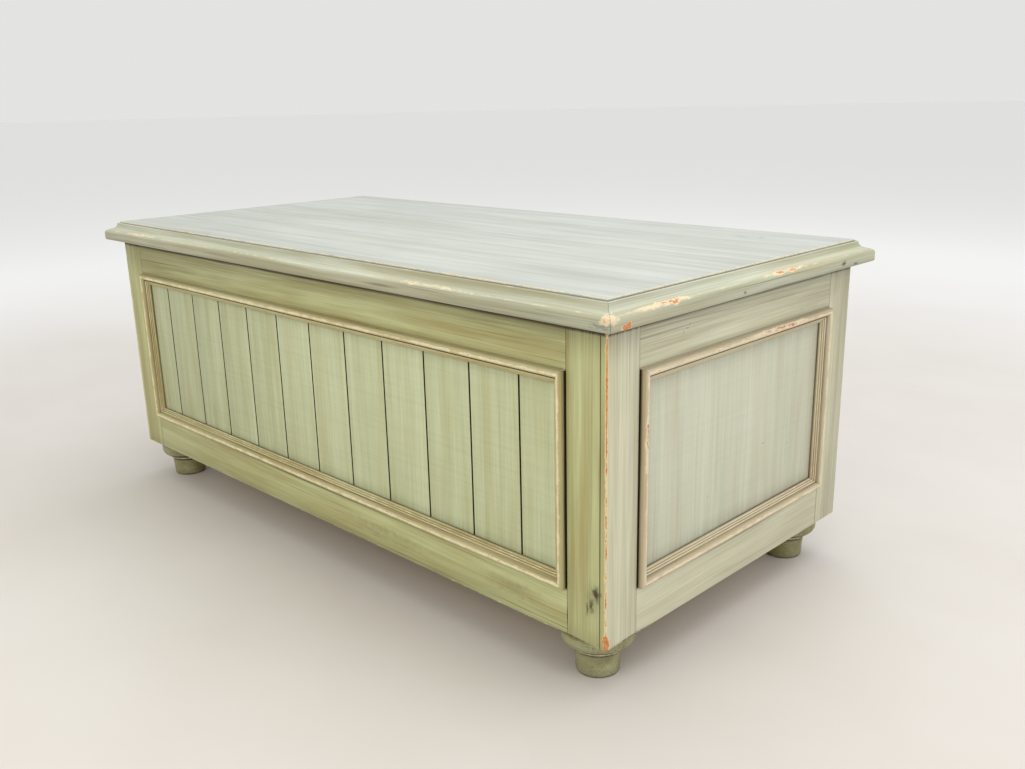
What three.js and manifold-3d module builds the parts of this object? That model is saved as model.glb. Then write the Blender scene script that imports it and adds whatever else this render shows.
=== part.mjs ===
// Storage bench: a painted pine chest on turned feet, with a hinged lid that is also the seat.
// Millimetres, +Z up. The origin is on the floor, under the middle of the bench. The front faces -Y.
import * as THREE from 'three';
import { mergeVertices } from 'three/addons/utils/BufferGeometryUtils.js';
import Module from 'manifold-3d';

// ---- Driving dimensions -------------------------------------------------------------------
const CASE = { width: 1060, depth: 508, bottom: 60, top: 420 };
const FRAME = { thick: 20, front: 55, side: 53, bottomRail: 55, topRail: 52 };
const CORNER_TONGUE = 8.3; // edge of the side stile that shows on the front face
const PANEL = { recess: 4.5, thick: 7, housed: 7 }; // housed is how far it runs into its groove
const GROOVE_DEPTH = 8;
const BOARD = { count: 12, pitch: 80.3, reveal: 2.6, revealDepth: 2.4 };
const TONGUE = { reach: 4, from: 3.2, to: 5 }; // on the edge of a board, measured back from its face
const BOTTOM = { thick: 18, pegRadius: 11, pegLength: 14 };
const FOOT_INSET = { x: 50, y: 47 };
const LID = { gap: 0.4, top: 450, overhang: 22, field: 2, edgeTop: 447.5 };
const HINGE = { x: 350, length: 60, radius: 4.5, pin: 2, button: 2, leaf: 1.5, width: 18, knuckles: 5 };
const LID_OPEN_DEG = 95;
const STAY = { radius: 155, lidDrop: 13, caseDrop: 36, thick: 2, x: 501, pin: 3, half: 7.5 };
const GAP = 0.3; // air between two pieces that touch
const MITRE_GAP = 0.2; // taken off each end of a mitred moulding
const OVERLAP = 1; // how far two solids run into each other before they are joined

// ---- Sizes that follow ----------------------------------------------------------------------
const halfWidth = CASE.width / 2;
const halfDepth = CASE.depth / 2;
const opening = {
  low: CASE.bottom + FRAME.bottomRail,
  high: CASE.top - FRAME.topRail,
  front: halfWidth - FRAME.front,
  side: halfDepth - FRAME.side,
};
const panelBack = PANEL.recess + PANEL.thick;
const lidUnderside = CASE.top + LID.gap;
const hingeAxis = { y: halfDepth + GAP + HINGE.radius, z: CASE.top + LID.gap / 2 };

// ---- Finishes -------------------------------------------------------------------------------
const finish = (color, roughness, metalness = 0) => () =>
  new THREE.MeshStandardMaterial({ color, roughness, metalness });
const frontPaint = finish(0x9a9a6c, 0.6);
const sidePaint = finish(0xa8a583, 0.6);
const panelPaint = finish(0xa9a980, 0.6);
const mouldingPaint = finish(0xae9a6e, 0.6);
const lidPaint = finish(0xb0b09c, 0.5);
const barePine = finish(0xc9a574, 0.75);
const brass = finish(0xa8894e, 0.4, 1);
const steel = finish(0x9c9a94, 0.4, 1);

// ---- Shape helpers --------------------------------------------------------------------------
const wasm = await Module();
wasm.setup();

const X = new THREE.Vector3(1, 0, 0);
const Y = new THREE.Vector3(0, 1, 0);
const Z = new THREE.Vector3(0, 0, 1);

/** Turns geometry so that its own x, y and z run along the three given directions. */
function turn(geometry, alongX, alongY, alongZ) {
  return geometry.applyMatrix4(new THREE.Matrix4().makeBasis(alongX, alongY, alongZ));
}

/** A box between two corners. */
function box([x0, y0, z0], [x1, y1, z1]) {
  const geometry = new THREE.BoxGeometry(x1 - x0, y1 - y0, z1 - z0);
  return geometry.translate((x0 + x1) / 2, (y0 + y1) / 2, (z0 + z1) / 2);
}

/** A closed outline from [x, y] points, drawn out along z from one height to another. */
function prism(points, from, to, holes = []) {
  const shape = new THREE.Shape(points.map(([x, y]) => new THREE.Vector2(x, y)));
  shape.holes = holes;
  const geometry = new THREE.ExtrudeGeometry(shape, { depth: to - from, bevelEnabled: false, curveSegments: 6 });
  return geometry.translate(0, 0, from);
}

/** A cylinder along X between two places on its axis. */
function rodAlongX(x0, x1, y, z, radius, sides = 24) {
  const geometry = new THREE.CylinderGeometry(radius, radius, x1 - x0, sides);
  return geometry.rotateZ(Math.PI / 2).translate((x0 + x1) / 2, y, z);
}

/** Points along a circular arc, in degrees anticlockwise from +x. */
function arc(cx, cy, radius, fromDeg, toDeg, steps) {
  return Array.from({ length: steps + 1 }, (_, i) => {
    const angle = THREE.MathUtils.degToRad(fromDeg + ((toDeg - fromDeg) * i) / steps);
    return [cx + radius * Math.cos(angle), cy + radius * Math.sin(angle)];
  });
}

function toSolid(geometry) {
  const bare = geometry.clone();
  bare.deleteAttribute('normal');
  bare.deleteAttribute('uv');
  const merged = mergeVertices(bare);
  return new wasm.Manifold(new wasm.Mesh({
    numProp: 3,
    vertProperties: merged.attributes.position.array,
    triVerts: new Uint32Array(merged.index.array),
  }));
}

function toGeometry(solid) {
  const mesh = solid.getMesh();
  const geometry = new THREE.BufferGeometry();
  geometry.setAttribute('position', new THREE.BufferAttribute(mesh.vertProperties, 3));
  geometry.setIndex(new THREE.BufferAttribute(mesh.triVerts, 1));
  return geometry;
}

const cut = (geometry, ...tools) =>
  toGeometry(tools.reduce((solid, tool) => solid.subtract(toSolid(tool)), toSolid(geometry)));
const join = (geometry, ...others) =>
  toGeometry(others.reduce((solid, other) => solid.add(toSolid(other)), toSolid(geometry)));

function piece(name, geometry, paint) {
  const mesh = new THREE.Mesh(geometry, paint());
  mesh.name = name;
  return mesh;
}

/** A straight moulding along X with 45 degree ends. Its profile is drawn as [across, up], and each
 *  end moves out by grow times across: -1 for a moulding inside an opening, 1 for one round a board. */
function mitredMoulding(profile, halfLength, grow, across, up) {
  const geometry = prism(profile, -1, 1);
  const position = geometry.attributes.position;
  for (let i = 0; i < position.count; i += 1) {
    const reach = halfLength + grow * position.getX(i) - MITRE_GAP;
    position.setZ(i, Math.sign(position.getZ(i)) * reach);
  }
  return turn(geometry, across, up, across.clone().cross(up));
}

// ---- Frame and panel ------------------------------------------------------------------------
// Each side of the case is drawn with its face on y = 0, its inside towards +y, and x across it.

/** A slot that runs along the whole of an edge, over the thickness of a panel. */
const grooveSpan = [PANEL.recess - GAP, panelBack + GAP];

/** Rail across an opening, with a groove for the panel and a stub tenon at each end. */
function rail(name, reach, isTop, paint) {
  const edge = isTop ? opening.high : opening.low;
  const far = isTop ? CASE.top : CASE.bottom;
  const into = isTop ? 1 : -1;
  const span = (a, b) => [Math.min(a, b), Math.max(a, b)];
  const [z0, z1] = span(edge, far);
  const [g0, g1] = span(edge - into * OVERLAP, edge + into * GROOVE_DEPTH);
  const [t0, t1] = span(edge + into * (GROOVE_DEPTH + GAP), far);
  const body = box([-reach + GAP, 0, z0], [reach - GAP, FRAME.thick, z1]);
  const groove = box([-reach, grooveSpan[0], g0], [reach, grooveSpan[1], g1]);
  const tenonReach = reach + PANEL.housed;
  const tenons = box([-tenonReach, PANEL.recess, t0], [tenonReach, panelBack, t1]);
  return piece(name, join(cut(body, groove), tenons), paint);
}

/** Tool that cuts the panel groove into the edge of a stile that faces the opening at x = edge. */
function stileGroove(edge) {
  const side = Math.sign(edge);
  const [x0, x1] = [edge - side * OVERLAP, edge + side * GROOVE_DEPTH].sort((a, b) => a - b);
  return box([x0, grooveSpan[0], CASE.bottom - OVERLAP], [x1, grooveSpan[1], CASE.top + OVERLAP]);
}

/** Front stile. Its outer edge sits in the rebate of the side stile. */
function frontStile(name, side) {
  const outer = halfWidth - CORNER_TONGUE - GAP;
  const [x0, x1] = [side * opening.front, side * outer].sort((a, b) => a - b);
  const body = box([x0, 0, CASE.bottom], [x1, FRAME.thick, CASE.top]);
  return piece(name, cut(body, stileGroove(side * opening.front)), frontPaint);
}

/** Front stile of a side: rebated on the inside so that only a thin tongue shows from the front. */
function sideFrontStile(name, side) {
  const [x0, x1] = [side * opening.side, side * halfDepth].sort((a, b) => a - b);
  const inner = side * (halfDepth - FRAME.thick - GAP);
  const [r0, r1] = [inner, side * (halfDepth + OVERLAP)].sort((a, b) => a - b);
  const body = box([x0, 0, CASE.bottom], [x1, FRAME.thick, CASE.top]);
  const rebate = box(
    [r0, CORNER_TONGUE, CASE.bottom - OVERLAP], [r1, FRAME.thick + OVERLAP, CASE.top + OVERLAP]);
  return piece(name, cut(body, rebate, stileGroove(side * opening.side)), sidePaint);
}

/** Rear stile of a side: it carries the end of the back panel in a groove on its inner face. */
function sideRearStile(name, side) {
  const [x0, x1] = [side * opening.side, side * halfDepth].sort((a, b) => a - b);
  const [g0, g1] = grooveSpan.map((d) => side * (halfDepth - d)).sort((a, b) => a - b);
  const body = box([x0, 0, CASE.bottom], [x1, FRAME.thick, CASE.top]);
  const backGroove = box(
    [g0, FRAME.thick - GROOVE_DEPTH, CASE.bottom - OVERLAP], [g1, FRAME.thick + OVERLAP, CASE.top + OVERLAP]);
  return piece(name, cut(body, backGroove, stileGroove(side * opening.side)), sidePaint);
}

/** Plain sheet panel, floating in the grooves of its frame. */
function panel(name, reach, paint) {
  const sheet = box(
    [-reach - PANEL.housed, PANEL.recess, opening.low - PANEL.housed],
    [reach + PANEL.housed, panelBack, opening.high + PANEL.housed]);
  return piece(name, sheet, paint);
}

/** Section of the picture-frame moulding: a bead, a quirk, a reed and a small hollow. */
const panelMouldingProfile = [
  [0, GAP], [17, GAP], [17, 2.2],
  ...arc(17, 7.4, 4.6, 250, 185, 3),
  ...arc(10.9, 8.2, 1.4, 0, 180, 4),
  [9.1, 7.6],
  ...arc(4.3, 8.7, 4.3, -10, 180, 8),
];

/** The four mitred mouldings that line an opening. */
function panelMouldings(prefix, reach) {
  const slip = 1.2; // open joint between frame and moulding
  const low = opening.low + slip;
  const high = opening.high - slip;
  const side = reach - slip;
  const half = { across: side, upright: (high - low) / 2 };
  const middle = (low + high) / 2;
  const places = [
    ['bottom', half.across, 0, low, 0],
    ['top', half.across, 0, high, Math.PI],
    ['left', half.upright, -side, middle, Math.PI / 2],
    ['right', half.upright, side, middle, -Math.PI / 2],
  ];
  return places.map(([place, halfLength, x, z, angle]) => {
    const geometry = mitredMoulding(panelMouldingProfile, halfLength, -1, Z.clone(), Y.clone().negate());
    const mesh = piece(`${prefix}_moulding_${place}`, geometry, mouldingPaint);
    mesh.position.set(x, PANEL.recess, z);
    mesh.rotation.y = angle;
    return mesh;
  });
}

/** One vertical board of the front, with a tongue on its right edge and a groove in its left. */
function frontBoard(index) {
  const left = (index - BOARD.count / 2) * BOARD.pitch;
  const right = left + BOARD.pitch;
  const face = PANEL.recess;
  const isLast = index === BOARD.count - 1;
  const shoulder = face + BOARD.revealDepth;
  const edge = { left: left + GAP / 2, right: right - GAP / 2 };
  const tongue = isLast ? [] : [
    [edge.right, face + TONGUE.from], [edge.right + TONGUE.reach, face + TONGUE.from],
    [edge.right + TONGUE.reach, face + TONGUE.to], [edge.right, face + TONGUE.to],
  ];
  const pocket = edge.left + TONGUE.reach + 2 * GAP;
  const outline = [
    [left + BOARD.reveal / 2, face], [right - BOARD.reveal / 2, face],
    [right - BOARD.reveal / 2, shoulder], [edge.right, shoulder],
    ...tongue,
    [edge.right, panelBack], [edge.left, panelBack],
    [edge.left, face + TONGUE.to + GAP], [pocket, face + TONGUE.to + GAP],
    [pocket, face + TONGUE.from - GAP], [edge.left, face + TONGUE.from - GAP],
    [edge.left, shoulder], [left + BOARD.reveal / 2, shoulder],
  ];
  const number = String(index + 1).padStart(2, '0');
  const board = prism(outline, opening.low - PANEL.housed, opening.high + PANEL.housed);
  return piece(`front_board_${number}`, board, panelPaint);
}

function frontAssembly() {
  const group = new THREE.Group();
  group.position.y = -halfDepth;
  group.add(frontStile('front_left_stile', -1), frontStile('front_right_stile', 1));
  group.add(rail('front_top_rail', opening.front, true, frontPaint));
  group.add(rail('front_bottom_rail', opening.front, false, frontPaint));
  for (let i = 0; i < BOARD.count; i += 1) group.add(frontBoard(i));
  group.add(...panelMouldings('front', opening.front));
  return group;
}

/** One end of the case. turned is 1 for the right end and -1 for the left. */
function sideAssembly(prefix, turned) {
  const group = new THREE.Group();
  group.position.x = turned * halfWidth;
  group.rotation.z = (turned * Math.PI) / 2;
  group.add(sideFrontStile(`${prefix}_front_stile`, -turned), sideRearStile(`${prefix}_rear_stile`, turned));
  group.add(rail(`${prefix}_top_rail`, opening.side, true, sidePaint));
  group.add(rail(`${prefix}_bottom_rail`, opening.side, false, sidePaint));
  group.add(panel(`${prefix}_panel`, opening.side, panelPaint));
  group.add(...panelMouldings(prefix, opening.side));
  return group;
}

/** Back of the case: two rails and a sheet between the rear stiles of the sides. */
function backAssembly() {
  const reach = halfWidth - FRAME.thick;
  const group = new THREE.Group();
  group.position.y = halfDepth;
  group.rotation.z = Math.PI;
  const topRail = rail('back_top_rail', reach, true, sidePaint);
  const pocket = HINGE.length / 2 + GAP;
  const mortises = [-HINGE.x, HINGE.x].map((x) => box(
    [x - pocket, -OVERLAP, hingeAxis.z - GAP - HINGE.leaf - 2 * GAP],
    [x + pocket, HINGE.width + GAP, CASE.top + OVERLAP]));
  topRail.geometry = cut(topRail.geometry, ...mortises);
  group.add(topRail, rail('back_bottom_rail', reach, false, sidePaint), panel('back_panel', reach, sidePaint));
  return group;
}

// ---- Bottom and feet ------------------------------------------------------------------------
const corners = [['front_left', -1, -1], ['front_right', 1, -1], ['rear_left', -1, 1], ['rear_right', 1, 1]]
  .map(([name, sx, sy]) => ({ name, x: sx * (halfWidth - FOOT_INSET.x), y: sy * (halfDepth - FOOT_INSET.y) }));

function bottomPanel() {
  const reach = { x: halfWidth - FRAME.thick - GAP, y: halfDepth - FRAME.thick - GAP };
  const board = box([-reach.x, -reach.y, CASE.bottom], [reach.x, reach.y, CASE.bottom + BOTTOM.thick]);
  const depth = BOTTOM.pegLength + GAP;
  const sockets = corners.map(({ x, y }) => {
    const socket = new THREE.CylinderGeometry(
      BOTTOM.pegRadius + GAP, BOTTOM.pegRadius + GAP, depth + OVERLAP, 24);
    return turn(socket, Y, Z, X).translate(x, y, CASE.bottom + (depth - OVERLAP) / 2);
  });
  return piece('bottom_panel', cut(board, ...sockets), barePine);
}

/** Turned foot: a peg, a wide flange with an ovolo under it, a bead, and a slightly tapered drum. */
function foot(name, x, y) {
  const top = CASE.bottom - GAP;
  const profile = [
    [0, 0], [24, 0], [25.3, 1], [25.8, 3], [27.7, 30], [27.1, 31.1], [30.2, 31.6],
    ...arc(29.9, 33.6, 2.1, -60, 60, 3),
    [30.1, 35.8], [32, 36.3],
    ...arc(32.4, 47.4, 11, -90, 0, 4),
    [43.4, top - 1.5], [41.9, top], [BOTTOM.pegRadius, top],
    [BOTTOM.pegRadius, top + BOTTOM.pegLength - 1.5], [BOTTOM.pegRadius - 1.5, top + BOTTOM.pegLength],
    [0, top + BOTTOM.pegLength],
  ];
  const turned = new THREE.LatheGeometry(profile.map(([r, z]) => new THREE.Vector2(r, z)), 22);
  const mesh = piece(`${name}_foot`, turned.rotateX(Math.PI / 2), frontPaint);
  mesh.position.set(x, y, 0);
  return mesh;
}

// ---- Lid ------------------------------------------------------------------------------------
/** Space for a closed hinge in the lid: a shallow bed for the leaf and a notch for the barrel. */
function lidHingePockets() {
  const half = HINGE.length / 2 + GAP;
  const barrelHalf = half + HINGE.button + 2 * GAP;
  const clear = HINGE.radius + 2 * GAP;
  return [-HINGE.x, HINGE.x].flatMap((x) => [
    box([x - half, halfDepth - HINGE.width - GAP, lidUnderside - OVERLAP],
      [x + half, halfDepth + OVERLAP, hingeAxis.z + GAP + HINGE.leaf + 2 * GAP]),
    box([x - barrelHalf, hingeAxis.y - clear, lidUnderside - OVERLAP],
      [x + barrelHalf, hingeAxis.y + clear, hingeAxis.z + clear]),
  ]);
}

/** Section of the lid edge as [out from the case face, up from the floor]: hollow, shelf and nose. */
function lidEdgeProfile() {
  const nose = LID.overhang;
  const base = lidUnderside;
  return [
    [LID.field + GAP, base], [nose - 1.5, base], [nose, base + 1.8], [nose, base + 9.6],
    ...arc(nose - 5.2, base + 11.6, 5.2, 0, 75, 4),
    [13, base + 18.4],
    ...arc(13.4, base + 26.2, 7.6, 248, 184, 4),
    [5.4, LID.edgeTop - 0.5], [4.9, LID.edgeTop], [LID.field + 1.3, LID.edgeTop],
    [LID.field + GAP, LID.edgeTop - 1],
  ];
}

function lidAssembly() {
  const group = new THREE.Group();
  const reach = { x: halfWidth + LID.field, y: halfDepth + LID.field };
  const board = box([-reach.x, -reach.y, lidUnderside], [reach.x, reach.y, LID.top]);
  const pockets = lidHingePockets();
  group.add(piece('lid_panel', cut(board, ...pockets), lidPaint));
  const places = [
    ['front', halfWidth, halfDepth, 0], ['back', halfWidth, halfDepth, Math.PI],
    ['right', halfDepth, halfWidth, Math.PI / 2], ['left', halfDepth, halfWidth, -Math.PI / 2],
  ];
  for (const [place, halfLength, out, angle] of places) {
    const moulding = mitredMoulding(lidEdgeProfile(), halfLength, 1, Y.clone().negate(), Z.clone());
    moulding.translate(0, -out, 0).rotateZ(angle);
    const geometry = place === 'back' ? cut(moulding, ...pockets) : moulding;
    group.add(piece(`lid_edge_${place}`, geometry, lidPaint));
  }
  return group;
}

// ---- Butt hinges ----------------------------------------------------------------------------
/** One leaf of a hinge at x, with every second knuckle. up is 1 for the lid leaf, -1 for the case leaf. */
function hingeLeaf(name, x, up) {
  const pitch = HINGE.length / HINGE.knuckles;
  const near = hingeAxis.z + up * GAP;
  const [z0, z1] = [near, near + up * HINGE.leaf].sort((a, b) => a - b);
  const plateEnd = hingeAxis.y - HINGE.radius - GAP;
  let leaf = box([x - HINGE.length / 2, halfDepth - HINGE.width, z0], [x + HINGE.length / 2, plateEnd, z1]);
  const first = up > 0 ? 1 : 0;
  const bore = rodAlongX(x - HINGE.length, x + HINGE.length, hingeAxis.y, hingeAxis.z, HINGE.pin + GAP);
  for (let k = first; k < HINGE.knuckles; k += 2) {
    const x0 = x - HINGE.length / 2 + k * pitch + (k > 0 ? GAP / 2 : 0);
    const x1 = x0 + pitch - (k > 0 && k < HINGE.knuckles - 1 ? GAP : GAP / 2);
    const barrel = rodAlongX(x0, x1, hingeAxis.y, hingeAxis.z, HINGE.radius);
    leaf = join(leaf, barrel, box([x0, plateEnd - OVERLAP, z0], [x1, hingeAxis.y, z1]));
  }
  return piece(name, cut(leaf, bore), brass);
}

/** Loose pin through the knuckles, with a small button at each end. */
function hingePin(name, x) {
  const half = HINGE.length / 2 + GAP;
  const end = half + HINGE.button;
  const profile = [
    [0, -end], [2.2, -end], [3.2, 1 - end], [3.2, -half], [HINGE.pin, -half],
    [HINGE.pin, half], [3.2, half], [3.2, end - 1], [2.2, end], [0, end],
  ];
  const turned = new THREE.LatheGeometry(profile.map(([r, z]) => new THREE.Vector2(r, z)), 20);
  const mesh = piece(name, turned.rotateZ(-Math.PI / 2), brass);
  mesh.position.set(x, hingeAxis.y, hingeAxis.z);
  return mesh;
}

function hinges() {
  const group = new THREE.Group();
  for (const [side, x] of [['left', -HINGE.x], ['right', HINGE.x]]) {
    group.add(hingeLeaf(`${side}_hinge_case_leaf`, x, -1), hingeLeaf(`${side}_hinge_lid_leaf`, x, 1));
    group.add(hingePin(`${side}_hinge_pin`, x));
  }
  return group;
}

// ---- Lid stay -------------------------------------------------------------------------------
// The two pivots lie at the same distance from the hinge axis. So the arm turns through exactly half
// the angle of the lid, and its slot slides along the fixed pin.
function stayPoint(drop) {
  return { y: hingeAxis.y - Math.sqrt(STAY.radius ** 2 - drop ** 2), z: hingeAxis.z - drop };
}
const lidPivot = stayPoint(STAY.lidDrop);
const casePivot = stayPoint(STAY.caseDrop);
const stayAngle = Math.asin(STAY.caseDrop / STAY.radius) - Math.asin(STAY.lidDrop / STAY.radius);
const chord = (lidAngle) => 2 * STAY.radius * Math.sin((lidAngle + stayAngle) / 2);
const chordShut = chord(0);
const chordOpen = chord(THREE.MathUtils.degToRad(LID_OPEN_DEG));
const stayGap = 2 * GAP; // side play of the arm on its pins

/** Flat bar with an eye at the lid end and a long slot, drawn along its own x and then turned down. */
function stayArm() {
  const slotHalf = STAY.pin + GAP;
  const slotStart = chordShut - GAP;
  const slotEnd = chordOpen + GAP;
  const eye = new THREE.Path().absarc(0, 0, slotHalf, 0, 2 * Math.PI, true);
  const slot = new THREE.Path();
  slot.absarc(slotStart, 0, slotHalf, (3 * Math.PI) / 2, Math.PI / 2, true);
  slot.absarc(slotEnd, 0, slotHalf, Math.PI / 2, -Math.PI / 2, true);
  const outline = [...arc(slotEnd, 0, STAY.half, -90, 90, 8), ...arc(0, 0, STAY.half, 90, 270, 8)];
  const bar = turn(prism(outline, 0, STAY.thick, [eye, slot]), Y, Z, X);
  const mesh = piece('stay_arm', bar, steel);
  mesh.rotation.x = Math.atan2(casePivot.z - lidPivot.z, casePivot.y - lidPivot.y);
  mesh.position.set(STAY.x, lidPivot.y, lidPivot.z);
  return mesh;
}

/** Angle bracket under the lid: a screwed foot, an ear beside the arm, and the rivet through its eye. */
function stayLidBracket() {
  const plate = 2.2;
  const half = 17;
  const top = lidUnderside - GAP;
  const earOuter = STAY.x - stayGap;
  const far = STAY.x + STAY.thick + stayGap;
  const { y, z } = lidPivot;
  const footPlate = box([earOuter - 17, y - half, top - plate], [earOuter, y + half, top]);
  const outline = [[y - half, top], ...arc(y, z, STAY.half, 180, 360, 8), [y + half, top]];
  const ear = turn(prism(outline, earOuter - plate, earOuter), Y, Z, X);
  const rivet = rodAlongX(earOuter - OVERLAP, far + OVERLAP, y, z, STAY.pin);
  const head = rodAlongX(far, far + 1.4, y, z, 5.5);
  return piece('stay_lid_bracket', join(footPlate, ear, rivet, head), steel);
}

/** Shouldered pin on the inside of the right top rail, which the slot of the arm slides along. */
function stayCasePin() {
  const wall = halfWidth - FRAME.thick - GAP;
  const flange = wall - 2.5;
  const near = STAY.x + STAY.thick + stayGap;
  const far = STAY.x - stayGap;
  const steps = [[wall, 10], [flange, 10], [flange, 5.5], [near, 5.5], [near, STAY.pin], [far, STAY.pin],
    [far, 6], [far - 1.4, 6], [far - 2, 5]];
  const profile = [[wall, 0], ...steps, [far - 2, 0]].map(([x, r]) => new THREE.Vector2(r, wall - x));
  const turned = new THREE.LatheGeometry(profile, 24).rotateZ(Math.PI / 2);
  const mesh = piece('stay_case_pin', turned, steel);
  mesh.position.set(wall, casePivot.y, casePivot.z);
  return mesh;
}

// ---- The bench ------------------------------------------------------------------------------
const bench = new THREE.Group();
bench.add(frontAssembly(), sideAssembly('right', 1), sideAssembly('left', -1), backAssembly());
bench.add(bottomPanel());
for (const { name, x, y } of corners) bench.add(foot(name, x, y));
bench.add(lidAssembly(), hinges(), stayArm(), stayLidBracket(), stayCasePin());

export default bench;
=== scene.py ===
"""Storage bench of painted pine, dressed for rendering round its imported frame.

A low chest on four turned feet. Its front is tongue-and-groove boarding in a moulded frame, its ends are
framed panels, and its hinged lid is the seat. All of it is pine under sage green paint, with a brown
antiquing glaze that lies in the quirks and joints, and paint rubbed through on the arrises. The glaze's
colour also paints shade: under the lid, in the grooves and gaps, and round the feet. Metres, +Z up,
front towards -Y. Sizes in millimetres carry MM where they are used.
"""

import logging
import math
import random
from collections.abc import Callable, Iterable, Sequence
from dataclasses import dataclass, field
from enum import Enum

import bmesh
import bpy
from mathutils import Matrix, Vector, noise


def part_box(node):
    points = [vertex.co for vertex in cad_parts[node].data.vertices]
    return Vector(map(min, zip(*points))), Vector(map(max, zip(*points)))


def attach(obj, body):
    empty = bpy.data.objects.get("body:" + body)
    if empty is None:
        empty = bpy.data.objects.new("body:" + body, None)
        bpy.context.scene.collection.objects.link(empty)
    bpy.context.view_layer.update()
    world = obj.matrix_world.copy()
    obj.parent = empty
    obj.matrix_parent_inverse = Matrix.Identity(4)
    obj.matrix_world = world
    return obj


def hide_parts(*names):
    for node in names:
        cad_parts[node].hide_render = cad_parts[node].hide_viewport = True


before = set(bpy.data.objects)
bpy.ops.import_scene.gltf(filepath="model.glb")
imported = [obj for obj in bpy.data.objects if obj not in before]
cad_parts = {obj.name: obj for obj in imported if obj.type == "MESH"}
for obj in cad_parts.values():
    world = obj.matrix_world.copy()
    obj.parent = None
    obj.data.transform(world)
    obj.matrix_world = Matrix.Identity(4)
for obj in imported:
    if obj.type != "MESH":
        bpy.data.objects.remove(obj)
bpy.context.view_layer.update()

MM = 0.001
SEED = 7421
WHOLE_RUN = math.inf  # reach of a mark that goes the whole length of a piece
LID_BED = 2.3  # millimetres from the case's face to where the lid's edge meets its board
PER_METRE = 1000  # millimetres
PINE_AND_PAINT_IOR = 1.5
WELD = 1e-6  # metres within which two vertices are one
ON_PLANE = 1e-5  # metres within which a vertex lies on a face or a line
SHARP_ARRIS = math.radians(25)  # an arris that turns less than this is left alone
FACES_IN = -0.5  # dot of a hidden face's normal with the outward direction, at most
FACES_FRONT = -0.72  # dot of a front face's normal with NORTH, at most

EAST, NORTH, UP = Vector((1, 0, 0)), Vector((0, 1, 0)), Vector((0, 0, 1))

Tree, Socket, Material = bpy.types.NodeTree, bpy.types.NodeSocket, bpy.types.Material
Mesh = bmesh.types.BMesh

log = logging.getLogger("storage_bench")


# ---- Nodes and colours -----------------------------------------------------------------------
def linear(hex_colour: str) -> tuple[float, float, float, float]:
    """Turns an sRGB hex colour to the linear RGBA that a shader socket takes.

    Args:
        hex_colour: six hex digits, with or without a hash.

    Returns:
        Linear red, green, blue and an alpha of 1.
    """
    digits = hex_colour.lstrip("#")
    channels = [int(digits[i : i + 2], 16) / 255 for i in (0, 2, 4)]
    low, high, bend, gain, power = 0.04045, 1.055, 0.055, 12.92, 2.4
    red, green, blue = (c / gain if c <= low else ((c + bend) / high) ** power for c in channels)
    return red, green, blue, 1.0


def add_node(
    tree: Tree, kind: str, settings: dict | None = None, inputs: dict | None = None
) -> bpy.types.Node:
    """Adds one node to a tree with its settings and links.

    Args:
        tree: the tree that gets the node.
        kind: the node's type name.
        settings: attributes of the node itself.
        inputs: for each socket, by name or place, a value to hold or an output to link from.

    Returns:
        The new node.
    """
    node = tree.nodes.new(kind)
    for key, value in (settings or {}).items():
        setattr(node, key, value)
    for key, value in (inputs or {}).items():
        if isinstance(value, Socket):
            tree.links.new(value, node.inputs[key])
        else:
            node.inputs[key].default_value = value
    return node


def blend(
    tree: Tree, share: Socket | float, first: object, second: object, kind: str = "MIX"
) -> Socket:
    """Mixes two colours.

    Args:
        tree: the material's tree.
        share: how much of the second colour there is, from 0 to 1.
        first: a colour, or an output with one.
        second: a colour, or an output with one.
        kind: how they are mixed.

    Returns:
        Output with the mixed colour.
    """
    settings = {"data_type": "RGBA", "blend_type": kind}
    return add_node(tree, "ShaderNodeMix", settings, {0: share, 6: first, 7: second}).outputs[2]


def product(tree: Tree, one: Socket, other: Socket | float) -> Socket:
    """Multiplies two numbers.

    Args:
        tree: the material's tree.
        one: output with the first number.
        other: the second number, or an output with it.

    Returns:
        Output with the product.
    """
    return add_node(
        tree, "ShaderNodeMath", {"operation": "MULTIPLY"}, {0: one, 1: other}
    ).outputs[0]


def plus_share(
    tree: Tree, part: Socket, share: float, rest: Socket, is_clamped: bool = False
) -> Socket:
    """Adds a share of one number to another.

    Args:
        tree: the material's tree.
        part: output with the number that is added.
        share: how much of it is added.
        rest: output with the number that it is added to.
        is_clamped: True keeps the sum between 0 and 1.

    Returns:
        Output with the sum.
    """
    settings = {"operation": "MULTIPLY_ADD", "use_clamp": is_clamped}
    return add_node(tree, "ShaderNodeMath", settings, {0: part, 1: share, 2: rest}).outputs[0]


def ranged(
    tree: Tree, value: Socket, source: tuple[float, float] = (0.0, 1.0),
    target: tuple[float, float] = (0.0, 1.0), curve: str = "LINEAR",
) -> Socket:
    """Moves a number from one range to another, and holds it inside.

    Args:
        tree: the material's tree.
        value: output with the number.
        source: the range that it has.
        target: the range that it gets.
        curve: how it goes from end to end.

    Returns:
        Output with the new number.
    """
    return add_node(
        tree, "ShaderNodeMapRange", {"interpolation_type": curve},
        {"Value": value, "From Min": source[0], "From Max": source[1],
         "To Min": target[0], "To Max": target[1]},
    ).outputs[0]


def bump(tree: Tree, height: Socket, strength: float, distance: float) -> Socket:
    """Raises a surface.

    Args:
        tree: the material's tree.
        height: output with the height, from 0 to 1.
        strength: of the effect.
        distance: that a height of 1 stands for, in metres.

    Returns:
        Output with the new normal.
    """
    return add_node(
        tree, "ShaderNodeBump", None, {"Strength": strength, "Distance": distance, "Height": height}
    ).outputs[0]


def object_space(tree: Tree) -> Socket:
    """Gives an output with the point in object space, which is the bench's own."""
    return add_node(tree, "ShaderNodeTexCoord").outputs["Object"]


def grain_space(tree: Tree) -> Socket:
    """Gives an output with the point in grain space, x along the fibres."""
    return add_node(tree, "ShaderNodeAttribute", {"attribute_name": "grain"}).outputs["Vector"]


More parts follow.
